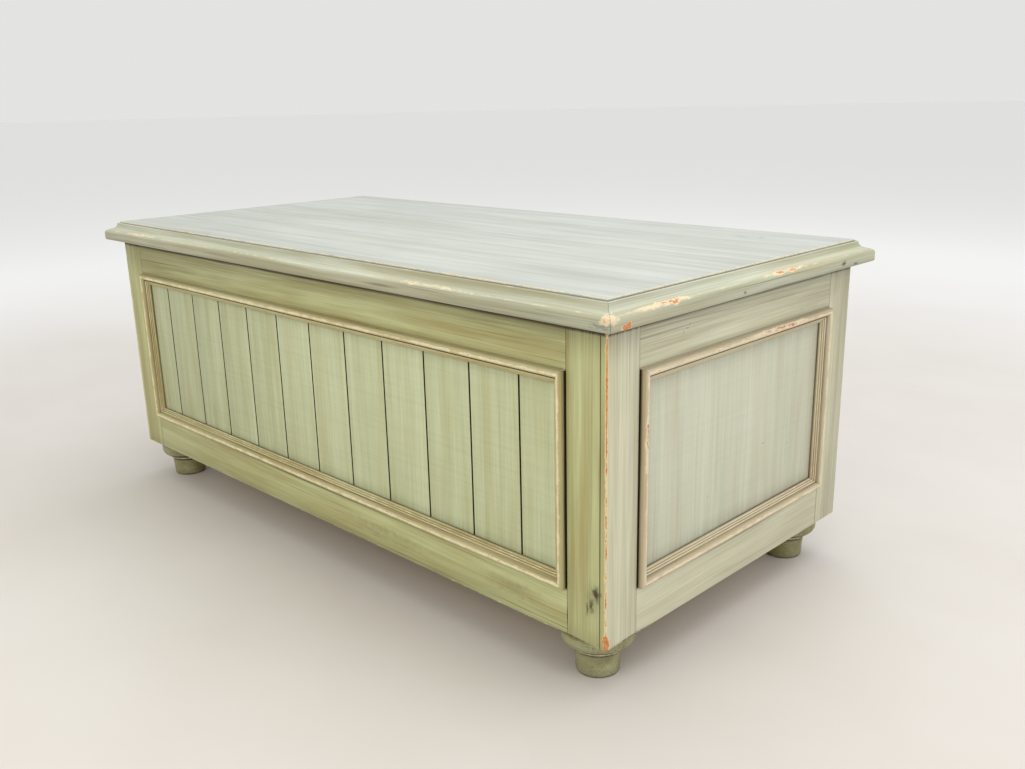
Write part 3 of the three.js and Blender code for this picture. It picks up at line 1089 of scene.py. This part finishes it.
def section_arc(
    centre: tuple[float, float], radius: float, start: float, end: float, steps: int,
    worn: float = 0.0, glazed: float = 0.0, crown: float | None = None,
) -> list[SectionPoint]:
    """Points along a circular part of a section.

    Args:
        centre: of the arc, in millimetres.
        radius: in millimetres.
        start: first angle, in degrees anticlockwise from across.
        end: last angle.
        steps: number of chords.
        worn: wear at the crown.
        glazed: glaze away from the crown.
        crown: angle of the most worn point; the whole arc is alike if it is None.

    Returns:
        The points in order.
    """
    points = []
    for step in range(steps + 1):
        angle = start + (end - start) * step / steps
        near = 1.0 if crown is None else max(0.0, 1 - abs(angle - crown) / 75)
        points.append(
            SectionPoint(
                centre[0] + radius * math.cos(math.radians(angle)),
                centre[1] + radius * math.sin(math.radians(angle)),
                worn * near, glazed if crown is None else glazed * (1 - near),
            )
        )
    return points


class Mitre(Enum):
    """Which edge of a mitred run is the longer one."""

    OUTER_LONGEST = "the outer edge: the run goes round a board"
    INNER_SHORTEST = "the bed edge: the run lines an opening"


@dataclass(frozen=True)
class MitredRun:
    """A straight length of moulding with 45 degree ends, fitted to the box of its CAD node.

    Attributes:
        node: the CAD node whose box it fills.
        section: its section, closed.
        along: direction of its length.
        across: direction in which the section's across grows.
        up: direction in which the section's up grows.
        mitre: how its ends are cut.
        start: the section's across at the low side of the box.
        pitch: metres between the cuts that let it be uneven.
    """

    node: str
    section: tuple[SectionPoint, ...]
    along: Vector
    across: Vector
    up: Vector
    mitre: Mitre
    start: float = 0.0
    pitch: float = 0.012

    def build(self, seed: int) -> Mesh:
        """Draws the section, pulls it out, cuts the mitres and makes it slightly uneven.

        Args:
            seed: picks the unevenness.

        Returns:
            The mesh, in place.
        """
        low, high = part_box(self.node)
        corners = [
            Vector((x, y, z))
            for x in (low.x, high.x) for y in (low.y, high.y) for z in (low.z, high.z)
        ]
        starts = {}
        for way in ("along", "across", "up"):
            reach = [corner.dot(getattr(self, way)) for corner in corners]
            starts[way] = (min(reach), max(reach))
        half = (starts["along"][1] - starts["along"][0]) / 2
        middle = sum(starts["along"]) / 2
        width = (max(p.across for p in self.section) - self.start) * MM
        up_from = min(p.up for p in self.section)

        mesh = bmesh.new()
        drawn = draw_section(
            mesh, self.section, lambda p: (-1, (p.across - self.start) * MM, (p.up - up_from) * MM)
        )
        first = mesh.faces.new(drawn)
        pulled = bmesh.ops.extrude_face_region(mesh, geom=[first], use_keep_orig=True)
        moved = [item for item in pulled["geom"] if isinstance(item, bmesh.types.BMVert)]
        bmesh.ops.translate(mesh, verts=moved, vec=(2, 0, 0))
        for vert in mesh.verts:
            inset = vert.co.y if self.mitre is Mitre.INNER_SHORTEST else width - vert.co.y
            vert.co.x = math.copysign(half - inset, vert.co.x)
        long_edges = [e for e in mesh.edges if e.verts[0].co.x * e.verts[1].co.x < 0]
        bmesh.ops.subdivide_edges(
            mesh, edges=long_edges, cuts=max(2, int(2 * half / self.pitch)), use_grid_fill=True
        )
        self.rub(mesh, half, seed)
        matrix = Matrix((self.along, self.across, self.up)).transposed().to_4x4()
        matrix.translation = (
            self.along * middle + self.across * starts["across"][0] + self.up * starts["up"][0]
        )
        bmesh.ops.transform(mesh, matrix=matrix, verts=mesh.verts)
        bmesh.ops.recalc_face_normals(mesh, faces=mesh.faces)
        return mesh

    def rub(self, mesh: Mesh, half: float, seed: int) -> None:
        """Presses the rubbed parts in by up to a third of a millimetre, but not near the mitres.

        Args:
            mesh: the straight run, drawn along X.
            half: half of its length.
            seed: picks the pattern.
        """
        worn = mesh.verts.layers.float[Mask.WEAR.value]
        mesh.normal_update()
        for vert in mesh.verts:
            if abs(vert.co.x) > half - 0.03 or vert[worn] <= 0:
                continue
            knock = noise.noise(Vector((vert.co.x * 45, vert.co.y * 90, seed)))
            knock += 0.5 * noise.noise(Vector((vert.co.x * 190, vert.co.y * 300, seed + 9)))
            vert.co -= vert.normal * 0.33 * MM * max(0.0, knock) * vert[worn]

    def grain(self) -> Grain:
        """Fibres run the length of the moulding."""
        return Grain(self.along, self.across)


def panel_section(is_filled: bool, held: float) -> tuple[SectionPoint, ...]:
    """Section of the picture-frame moulding: a wide bead, a quirk, then three reeds stepping down.

    Args:
        is_filled: True where paint fills the joint between the bead and the frame.
        held: how much glaze stays between the reeds; it is partly painted shade.

    Returns:
        The closed section, across from the frame and up from the panel.
    """
    bed, width = 0.3, 17.0
    foot, top = (16.7, 2.5), (9.7, 8.7)
    pitch, radius = 2.75, 1.28
    slope = Vector((top[0] - foot[0], top[1] - foot[1])).normalized()
    outward = Vector((slope.y, -slope.x))
    face = math.degrees(math.atan2(outward.y, outward.x))
    side = -1.05 if is_filled else 0.9
    # The bed beside the bead is dark: painted shade in the gap, with glaze.
    points = profile((side, bed, 0, 1.6), (width, bed, 0, 1.1), (width, 2.0, 0, 0.8))
    for reed in range(3):
        centre = Vector(foot) + slope * (1.4 + pitch * reed) - outward * 0.35
        points += section_arc(
            tuple(centre), radius, face - 74, face + 74, 6, worn=0.48, glazed=0.16, crown=face
        )
        low = Vector(foot) + slope * (1.4 + pitch * (reed + 0.5)) - outward * 1.0
        points.append(SectionPoint(low.x, low.y, 0, held + 0.2 if reed == 2 else held))
    points += section_arc((4.3, 8.7), 4.3, -8, 172, 18, worn=0.66, glazed=0.25, crown=84)
    # Where the joint is open, the bead's outer side darkens down into the gap: painted shade, with glaze.
    if is_filled:
        points += profile((0.1, 7.4, 0.1, 0.3), (-0.2, 5.6, 0, 0.5), (side, 4.7, 0, 0.35))
    else:
        points += profile((0.05, 7.6, 0, 0.5), (0.3, 6.2, 0, 0.75), (side, 4.9, 0, 1.6))
    return tuple(points)


def lid_section() -> tuple[SectionPoint, ...]:
    """Section of the lid's edge: a flat nose, an ovolo up to the rubbed ridge, a shelf and a hollow.

    Returns:
        The closed section, across from the case's face and up from the lid's underside.
    """
    # The glaze on the underside, next to the case, is painted shade under the lid.
    points = profile(
        (LID_BED, 0, 0, 0.8), (12, 0, 0, 0.6), (20.4, 0, 0.1, 0.5), (21.4, 0.5, 0.2, 0.4),
        (22, 1.8, 0.22, 0.3), (22, 5.6, 0, 0.15),
    )
    points += section_arc((16.8, 11.0), 5.2, 0, 75, 12, worn=0.46, glazed=0.16, crown=80)
    points += profile((17.4, 16.6, 0.4, 0), (16.4, 16.95, 0.1, 0.05), (13.0, 18.0, 0, 0.08))
    points += section_arc((13.4, 26.2), 7.8, 248, 184, 9, glazed=0.1)
    points += profile(
        (5.4, 26.5, 0.3, 0), (4.9, 27.1, 0.42, 0), (3.3, 27.1, 0.1, 0.3), (2.9, 26.6, 0, 1.0),
        (LID_BED, 26.0, 0, 1.2),
    )
    return tuple(points)


# ---- Case ------------------------------------------------------------------------------------
@dataclass
class FramedFace:
    """One upright face of the case: stiles, rails, its filling and the moulding round it.

    Attributes:
        maker: makes the pieces.
        palette: the finishes.
        prefix: how its nodes' names start.
        outward: direction that the face looks.
        arris: width of its softened arrises, in metres.
    """

    maker: Maker
    palette: Palette
    prefix: str
    outward: Vector
    arris: float = 0.45 * MM

    @property
    def sideways(self) -> Vector:
        """Level direction along the face, to the right of somebody who looks at it."""
        return UP.cross(self.outward)

    def member(
        self, node: str, slot: str, coat: Material, along: Vector, across: Vector
    ) -> None:
        """Makes one stile, rail, board or panel.

        Args:
            node: its CAD node.
            slot: the record's material slot.
            coat: its paint.
            along: direction of its fibres.
            across: direction across its face.
        """
        mesh = copy_of_node(node)
        soften(mesh, self.arris, [self.outward, -self.outward])
        self.maker.wood(
            mesh, node, "case", slot, Grain(along, across), coat, self.palette.pine, self.outward
        )

    def mouldings(self, coat: Material) -> None:
        """Lines the opening with four mitred mouldings.

        Only the top one was painted in along its joint. The bottom one holds least glaze between its
        reeds, which face up: painted light; the others' darker reeds are partly painted shade.

        Args:
            coat: their paint.
        """
        side = self.sideways
        ways = {"bottom": (side, UP), "top": (side, -UP), "left": (UP, side), "right": (UP, -side)}
        for place, (along, across) in ways.items():
            run = MitredRun(
                f"{self.prefix}_moulding_{place}",
                panel_section(place == "top", 0.62 if place == "bottom" else 1.35),
                along, across, self.outward, Mitre.INNER_SHORTEST,
            )
            mesh = run.build(self.maker.count)
            self.maker.wood(mesh, run.node, "case", "moulding_paint", run.grain(), coat)


@dataclass
class BoardedFront(FramedFace):
    """Front of the case: tongue-and-groove boards in a moulded frame.

    Attributes:
        boards: how many there are.
    """

    boards: int = 12

    def build(self) -> None:
        """Builds the front."""
        side = self.sideways
        for stile in ("front_left_stile", "front_right_stile"):
            self.member(stile, "front_paint", self.palette.front, UP, side)
        for rail in ("front_top_rail", "front_bottom_rail"):
            self.member(rail, "front_paint", self.palette.front, side, UP)
        for number in range(1, self.boards + 1):
            self.member(f"front_board_{number:02d}", "panel_paint", self.palette.boards, UP, side)
        self.mouldings(self.palette.front_moulding)


@dataclass
class PanelledEnd(FramedFace):
    """End of the case: a sheet panel in a moulded frame. Its front stile turns the corner.

    Attributes:
        corner_cut: pitch of the cuts along the battered arris, in metres.
        nip: size of the knocked-off bottom corner, in metres.
    """

    corner_cut: float = 7 * MM
    nip: float = 6 * MM

    def corner_stile(self, node: str) -> None:
        """Makes the front stile, with its upright arris battered and its bottom corner knocked off.

        Args:
            node: its CAD node.
        """
        mesh = copy_of_node(node)
        low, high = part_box(node)
        corner = Vector((self.outward.x * max(abs(low.x), abs(high.x)), low.y, low.z))
        tip = min(mesh.verts, key=lambda vert: (vert.co - corner).length)
        bmesh.ops.bevel(
            mesh, geom=[tip], offset=self.nip, offset_type="OFFSET", segments=2, profile=0.5,
            affect="VERTICES", clamp_overlap=True, material=-1,
        )
        upright = Vector((corner.x, corner.y, 0))

        def on_corner(edge: bmesh.types.BMEdge) -> bool:
            """True for the long upright arris of the corner."""
            return all((Vector((v.co.x, v.co.y, 0)) - upright).length < ON_PLANE for v in edge.verts)

        soften(mesh, 1.5 * MM, [self.outward], 3, on_corner)
        soften(mesh, self.arris, [self.outward, -NORTH], 2)
        cut_across(mesh, UP, self.corner_cut)
        batter(mesh, corner, UP, 3.2 * MM, 1.1 * MM, self.maker.count)
        # The front face of the corner stile wears the front frame's paint, which is partly painted shade.
        self.maker.wood(
            mesh, node, "case", "side_paint", Grain(UP, self.sideways), self.palette.side,
            self.palette.pine, self.outward, self.palette.front,
        )

    def build(self) -> None:
        """Builds the end."""
        side, paint = self.sideways, self.palette.side
        self.corner_stile(f"{self.prefix}_front_stile")
        self.member(f"{self.prefix}_rear_stile", "side_paint", paint, UP, side)
        for rail in ("top_rail", "bottom_rail"):
            self.member(f"{self.prefix}_{rail}", "side_paint", paint, side, UP)
        self.member(f"{self.prefix}_panel", "panel_paint", self.palette.panel, UP, side)
        self.mouldings(self.palette.side_moulding)


@dataclass
class PlainBack(FramedFace):
    """Back of the case: two rails and a sheet, let in between the ends."""

    def build(self) -> None:
        """Builds the back."""
        side, paint = self.sideways, self.palette.side
        for rail in ("back_top_rail", "back_bottom_rail"):
            self.member(rail, "side_paint", paint, side, UP)
        self.member("back_panel", "side_paint", paint, side, UP)


@dataclass
class TurnedFoot:
    """A low turned foot: a tapered drum, a bead between two quirks, and an ovolo up to a wide flange.

    Attributes:
        maker: makes the pieces.
        palette: the finishes.
        node: its CAD node.
        steps: number of faces round it.
    """

    maker: Maker
    palette: Palette
    node: str
    steps: int = 72

    def section(self) -> list[SectionPoint]:
        """Half section from the floor to the top of the peg.

        Returns:
            The open section, across from the foot's axis and up from the floor.
        """
        # The glaze values here are largely painted shade: the dark sole and its rim stand for contact
        # shadow on the floor, the quirks round the bead and the low part of the cove for shade, and the
        # flange's top edge for shade under the case.
        points = profile(
            (0, 0, 0, 1.4), (24, 0, 0, 1.4), (25.1, 0.5, 0, 1.2), (25.7, 2.0, 0.1, 0.5),
            (25.9, 4.5, 0, 0.25), (26.5, 14, 0, 0.1), (27.5, 26.8, 0, 0.25), (27.65, 28.6, 0, 0.7),
            (27.7, 29.6, 0, 1.3), (26.3, 30.5, 0, 1.8), (26.5, 31.4, 0, 1.8), (29.6, 31.7, 0.1, 1.3),
        )
        points += section_arc((29.8, 33.6), 2.2, -62, 62, 8, worn=0.6, glazed=0.2, crown=-10)
        points += profile((29.4, 35.8, 0, 1.8), (29.6, 36.5, 0, 1.8), (32.0, 36.6, 0, 1.2))
        points += section_arc((32.4, 47.6), 11, -84, -46, 6, glazed=1.5)
        points += section_arc((32.4, 47.6), 11, -38, 0, 8, glazed=0.14)
        points += profile(
            (43.4, 52, 0, 0.1), (43.4, 57.0, 0.1, 0.5), (43.0, 58.9, 0.1, 1.3), (41.8, 59.7, 0, 1.4),
            (11, 59.7, 0, 1), (11, 72.2), (9.5, 73.7), (0, 73.7),
        )
        return points

    def build(self) -> None:
        """Turns the foot."""
        low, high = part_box(self.node)
        centre = Vector(((low.x + high.x) / 2, (low.y + high.y) / 2, low.z))
        mesh = bmesh.new()
        drawn = draw_section(mesh, self.section(), lambda p: (p.across * MM, 0, p.up * MM))
        edges = [mesh.edges.new(pair) for pair in zip(drawn, drawn[1:])]
        bmesh.ops.spin(
            mesh, geom=[*drawn, *edges], cent=(0, 0, 0), axis=(0, 0, 1), angle=2 * math.pi,
            steps=self.steps, use_merge=True,
        )
        bmesh.ops.remove_doubles(mesh, verts=mesh.verts, dist=WELD)
        bmesh.ops.recalc_face_normals(mesh, faces=mesh.faces)
        bmesh.ops.translate(mesh, verts=mesh.verts, vec=centre)
        self.maker.wood(
            mesh, self.node, "case", "front_paint", Grain(EAST, UP), self.palette.foot
        )


@dataclass
class CaseBottom:
    """Bare board that closes the case, and the four feet under it.

    Attributes:
        maker: makes the pieces.
        palette: the finishes.
        corners: where the feet are.
    """

    maker: Maker
    palette: Palette
    corners: tuple[str, ...] = ("front_left", "front_right", "rear_left", "rear_right")

    def build(self) -> None:
        """Builds the bottom."""
        mesh = copy_of_node("bottom_panel")
        soften(mesh, 0.4 * MM, [UP, -UP], 1)
        self.maker.wood(
            mesh, "bottom_panel", "case", "bare_pine", Grain(EAST, NORTH), self.palette.pine
        )
        for corner in self.corners:
            TurnedFoot(self.maker, self.palette, f"{corner}_foot").build()


# ---- Lid -------------------------------------------------------------------------------------
@dataclass
class SeatLid:
    """The seat: a flat board with a moulded edge mitred round it.

    Attributes:
        maker: makes the pieces.
        palette: the finishes.
        hinge_x: how far the hinges are from the middle, in metres.
        notch: half size of the space for a barrel along X, and its box in Y and Z, in metres.
    """

    maker: Maker
    palette: Palette
    hinge_x: float = 0.350
    notch: tuple[float, float, float, float, float] = (0.0329, 0.2537, 0.2639, 0.4194, 0.4253)

    def board(self) -> None:
        """Makes the flat of the lid. Its underside is bare."""
        mesh = copy_of_node("lid_panel")
        soften(mesh, 0.9 * MM, [UP], 3)
        self.maker.wood(
            mesh, "lid_panel", "lid", "lid_paint", Grain(EAST, NORTH), self.palette.lid_top,
            self.palette.pine, UP,
        )

    def edges(self) -> None:
        """Makes the four moulded edges. The back one is notched for the hinges."""
        ways = {
            "front": (EAST, -NORTH), "back": (-EAST, NORTH),
            "right": (NORTH, EAST), "left": (-NORTH, -EAST),
        }
        for place, (along, across) in ways.items():
            run = MitredRun(
                f"lid_edge_{place}", lid_section(), along, across, UP, Mitre.OUTER_LONGEST, LID_BED
            )
            mesh = run.build(self.maker.count)
            if place == "back":
                mesh = self.notched(mesh)
            self.maker.wood(mesh, run.node, "lid", "lid_paint", run.grain(), self.palette.lid_edge)

    def notched(self, mesh: Mesh) -> Mesh:
        """Cuts the two hinge notches out of a mesh.

        Args:
            mesh: the mesh to cut, which is freed.

        Returns:
            The mesh with its notches.
        """
        half, y0, y1, z0, z1 = self.notch
        tool = bmesh.new()
        for x in (-self.hinge_x, self.hinge_x):
            made = bmesh.ops.create_cube(tool, size=1.0)
            size = Vector((2 * half, y1 - y0, z1 - z0))
            bmesh.ops.scale(tool, vec=size, verts=made["verts"])
            bmesh.ops.translate(tool, vec=(x, (y0 + y1) / 2, (z0 + z1) / 2), verts=made["verts"])
        holders = []
        for name, part in (("blank", mesh), ("notch_tool", tool)):
            data = bpy.data.meshes.new(name)
            part.to_mesh(data)
            part.free()
            holders.append(put(name, data))
        blank, cutter = holders
        cut = blank.modifiers.new("notch", "BOOLEAN")
        cut.operation, cut.solver, cut.object = "DIFFERENCE", "EXACT", cutter
        bpy.context.view_layer.update()
        result = bmesh.new()
        evaluated = blank.evaluated_get(bpy.context.evaluated_depsgraph_get())
        result.from_mesh(evaluated.to_mesh())
        evaluated.to_mesh_clear()
        for holder in holders:
            data = holder.data
            bpy.data.objects.remove(holder)
            bpy.data.meshes.remove(data)
        return result

    def build(self) -> None:
        """Builds the lid."""
        self.board()
        self.edges()


# ---- Fittings --------------------------------------------------------------------------------
@dataclass(frozen=True)
class Screw:
    """A countersunk wood screw with a plain slot.

    Attributes:
        place: middle of its head, on the fitting's surface, in metres.
        out: direction that its head looks.
        turn: angle of its slot, in degrees.
        radius: of its head, in millimetres.
        length: in millimetres.
    """

    place: Vector
    out: Vector
    turn: float
    radius: float = 2.7
    length: float = 12.0

    def build(self) -> Mesh:
        """Turns the screw and sinks its slot.

        Returns:
            The mesh, in place.
        """
        rim, proud = self.radius, 0.12
        section = [
            (0, -self.length), (0.5, -self.length + 1.6), (1.15, -self.length + 4), (1.3, -2.4),
            (rim, -0.5), (rim, proud - 0.1), (rim - 0.12, proud), (0, proud),
        ]
        mesh = bmesh.new()
        drawn = [mesh.verts.new((r * MM, 0, z * MM)) for r, z in section[:-1]]
        edges = [mesh.edges.new(pair) for pair in zip(drawn, drawn[1:])]
        bmesh.ops.spin(
            mesh, geom=[*drawn, *edges], cent=(0, 0, 0), axis=(0, 0, 1), angle=2 * math.pi, steps=20,
            use_merge=True,
        )
        bmesh.ops.remove_doubles(mesh, verts=mesh.verts, dist=1e-7)
        bmesh.ops.holes_fill(mesh, edges=[e for e in mesh.edges if e.is_boundary], sides=0)
        bmesh.ops.recalc_face_normals(mesh, faces=mesh.faces)
        top = max(mesh.faces, key=lambda face: face.calc_center_median().z)
        bmesh.ops.inset_region(mesh, faces=[top], thickness=0.25 * MM, use_even_offset=True)
        for offset in (-0.32 * MM, 0.32 * MM):
            flat = [f for f in mesh.faces if f.normal.z > 0.9 and f.calc_center_median().z > 0]
            around = {item for f in flat for item in (*f.verts, *f.edges)}
            bmesh.ops.bisect_plane(
                mesh, geom=[*flat, *around], dist=1e-7, plane_co=(0, offset, 0), plane_no=(0, 1, 0)
            )
        strip = [
            f for f in mesh.faces
            if f.normal.z > 0.9 and abs(f.calc_center_median().y) < 0.1 * MM and f.calc_area() > 1e-6
        ]
        sunk = bmesh.ops.extrude_face_region(mesh, geom=strip)
        moved = [item for item in sunk["geom"] if isinstance(item, bmesh.types.BMVert)]
        bmesh.ops.translate(mesh, verts=moved, vec=(0, 0, -0.7 * MM))
        if strip:
            bmesh.ops.delete(mesh, geom=[f for f in strip if f.is_valid], context="FACES_ONLY")
        bmesh.ops.rotate(
            mesh, verts=mesh.verts, cent=(0, 0, 0),
            matrix=Matrix.Rotation(math.radians(self.turn), 3, "Z"),
        )
        matrix = self.out.to_track_quat("Z", "Y").to_matrix().to_4x4()
        matrix.translation = self.place
        bmesh.ops.transform(mesh, matrix=matrix, verts=mesh.verts)
        return mesh


@dataclass
class Fittings:
    """Shared work of the metal fittings.

    Attributes:
        maker: makes the pieces.
        palette: the finishes.
    """

    maker: Maker
    palette: Palette

    def metal(
        self, node: str, body: str, slot: str, metal: Material, arris: float = 0.25 * MM
    ) -> None:
        """Makes a metal piece from a CAD node, with its arrises broken.

        Args:
            node: its CAD node.
            body: the body that it rides on.
            slot: the record's material slot.
            metal: its finish.
            arris: width of the broken arris, in metres.
        """
        mesh = copy_of_node(node)
        soften(mesh, arris, (), 2)
        self.maker.piece(mesh, f"{node}_metal", body, slot, [metal], [node], sharp=28)

    def screws(
        self, name: str, screws: Sequence[Screw], body: str, slot: str, metal: Material
    ) -> None:
        """Makes each screw of a fitting.

        Args:
            name: how the screws' names start.
            screws: where they go.
            body: the body that they ride on.
            slot: the record's material slot.
            metal: their finish.
        """
        for number, screw in enumerate(screws, 1):
            self.maker.piece(screw.build(), f"{name}_screw_{number}", body, slot, [metal], sharp=28)


@dataclass
class ButtHinge(Fittings):
    """A brass butt hinge: two leaves with interleaved knuckles on a loose pin, and its screws.

    Attributes:
        side: left or right.
        spread: X places of the screws from the hinge's middle, in metres.
        inset: how far each screw is from the leaf's inner edge, in metres.
    """

    side: str = "left"
    spread: tuple[float, ...] = (-0.021, 0.0, 0.021)
    inset: tuple[float, ...] = (6.0 * MM, 9.5 * MM, 6.0 * MM)

    def build(self) -> None:
        """Builds the hinge."""
        brass = self.palette.brass
        low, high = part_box(f"{self.side}_hinge_pin")
        axis_z = (low.z + high.z) / 2
        for leaf, body, up in (("case_leaf", "case", -1), ("lid_leaf", "lid", 1)):
            node = f"{self.side}_hinge_{leaf}"
            self.metal(node, body, "hinge_brass", brass)
            low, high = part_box(node)
            middle = (low.x + high.x) / 2
            surface = axis_z + up * 0.3 * MM
            screws = [
                Screw(Vector((middle + x, low.y + inset, surface)), -up * UP, 25 + 50 * i)
                for i, (x, inset) in enumerate(zip(self.spread, self.inset))
            ]
            self.screws(node, screws, body, "hinge_brass", brass)
        self.metal(f"{self.side}_hinge_pin", "case", "hinge_brass", brass)


@dataclass
class LidStay(Fittings):
    """A slotted steel arm that turns on a bracket under the lid and slides along a pin on the case."""

    def build(self) -> None:
        """Builds the stay."""
        steel = self.palette.steel
        for node, body in (
            ("stay_arm", "stay_arm"), ("stay_lid_bracket", "lid"), ("stay_case_pin", "case")
        ):
            self.metal(node, body, "stay_steel", steel)
        low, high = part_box("stay_lid_bracket")
        foot_x, middle = low.x + 7.5 * MM, (low.y + high.y) / 2
        plate = high.z - 2.2 * MM
        screws = [
            Screw(Vector((foot_x, middle + y, plate)), -UP, 70 * i, length=11)
            for i, y in enumerate((-0.011, 0.011))
        ]
        self.screws("stay_lid_bracket", screws, "lid", "stay_steel", steel)
        low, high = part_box("stay_case_pin")
        centre = Vector((high.x - 2.5 * MM, (low.y + high.y) / 2, (low.z + high.z) / 2))
        screws = [
            Screw(centre + Vector((0, y, 0)), -EAST, 30 + 80 * i, radius=1.6, length=11)
            for i, y in enumerate((-0.0077, 0.0077))
        ]
        self.screws("stay_case_pin", screws, "case", "stay_steel", steel)


# ---- Studio ----------------------------------------------------------------------------------
@dataclass(frozen=True)
class SoftLight:
    """A large soft lamp.

    Attributes:
        name: the light's name.
        place: in metres.
        aim: point that it faces.
        size: its sides, in metres.
        power: in watts.
        colour: as sRGB hex.
    """

    name: str
    place: tuple[float, float, float]
    aim: tuple[float, float, float]
    size: tuple[float, float]
    power: float
    colour: str = "#ffffff"

    def hang(self) -> None:
        """Puts the lamp in the scene."""
        lamp = bpy.data.lights.new(self.name, "AREA")
        lamp.shape, lamp.size, lamp.size_y = "RECTANGLE", self.size[0], self.size[1]
        lamp.energy = self.power
        lamp.color = linear(self.colour)[:3]
        holder = put(self.name, lamp)
        holder.location = self.place
        holder.rotation_euler = (
            (Vector(self.aim) - Vector(self.place)).to_track_quat("-Z", "Y").to_euler()
        )


@dataclass
class Studio:
    """Camera, soft lights, pale surroundings and floor.

    Attributes:
        eye: the camera's place, in metres.
        aim: point at the middle of its view.
        roll: degrees that it leans.
        lens: focal length on a 36 mm frame.
        surround: brightness of the pale room.
        lights: its lamps.
    """

    eye: tuple[float, float, float] = (1.1432, -1.0018, 0.6438)
    aim: tuple[float, float, float] = (0.1593, -0.0164, 0.2397)
    roll: float = -1.2575
    lens: float = 35.21
    surround: float = 0.86
    lights: tuple[SoftLight, ...] = (
        SoftLight("window_overhead", (0.2, 0.5, 2.6), (0, 0, 0.3), (3.2, 2.4), 46, "#f6f9ff"),
        SoftLight("window_right", (2.6, 0.2, 1.5), (0.3, 0, 0.25), (1.8, 1.8), 16, "#fdfcff"),
        SoftLight("window_front", (0.6, -2.6, 1.5), (0.1, -0.1, 0.2), (2.4, 1.8), 22, "#fff9ee"),
    )

    def camera(self) -> None:
        """Sets the camera up."""
        lens = bpy.data.cameras.new("studio_camera")
        lens.lens, lens.sensor_width, lens.sensor_fit = self.lens, 36.0, "HORIZONTAL"
        lens.clip_start, lens.clip_end = 0.05, 60.0
        holder = put("studio_camera", lens)
        facing = (Vector(self.aim) - Vector(self.eye)).to_track_quat("-Z", "Y").to_matrix()
        turned = facing @ Matrix.Rotation(math.radians(self.roll), 3, "Z")
        holder.matrix_world = Matrix.Translation(Vector(self.eye)) @ turned.to_4x4()
        bpy.context.scene.camera = holder

    def floor(self) -> None:
        """Lays the floor."""
        mesh = bmesh.new()
        bmesh.ops.create_circle(mesh, cap_ends=True, segments=64, radius=40.0)
        data = bpy.data.meshes.new("studio_floor")
        mesh.to_mesh(data)
        mesh.free()
        data.materials.append(StudioFloor().material())
        floor = put("studio_floor", data)

    def room(self) -> None:
        """Fills the room with pale, even light."""
        world = bpy.data.worlds.new("pale_room")
        world.use_nodes = True
        world.node_tree.nodes.clear()
        light = add_node(
            world.node_tree, "ShaderNodeBackground", None,
            {"Color": linear("#f3f3f2"), "Strength": self.surround},
        )
        add_node(world.node_tree, "ShaderNodeOutputWorld", None, {"Surface": light.outputs[0]})
        bpy.context.scene.world = world

    def build(self) -> None:
        """Builds the studio."""
        self.camera()
        self.floor()
        self.room()
        for light in self.lights:
            light.hang()
        bpy.context.scene.view_settings.view_transform = "Standard"


def main() -> None:
    """Builds the studio, then the bench one sub-assembly at a time."""
    logging.basicConfig(level=logging.INFO, format="%(message)s")
    Studio().build()
    maker, palette = Maker(), Palette.mix()
    BoardedFront(maker, palette, "front", -NORTH).build()
    PanelledEnd(maker, palette, "right", EAST).build()
    PanelledEnd(maker, palette, "left", -EAST).build()
    PlainBack(maker, palette, "back", NORTH).build()
    CaseBottom(maker, palette).build()
    SeatLid(maker, palette).build()
    for side in ("left", "right"):
        ButtHinge(maker, palette, side).build()
    LidStay(maker, palette).build()
    log.info("%d pieces", maker.count)


if __name__ == "__main__":
    main()
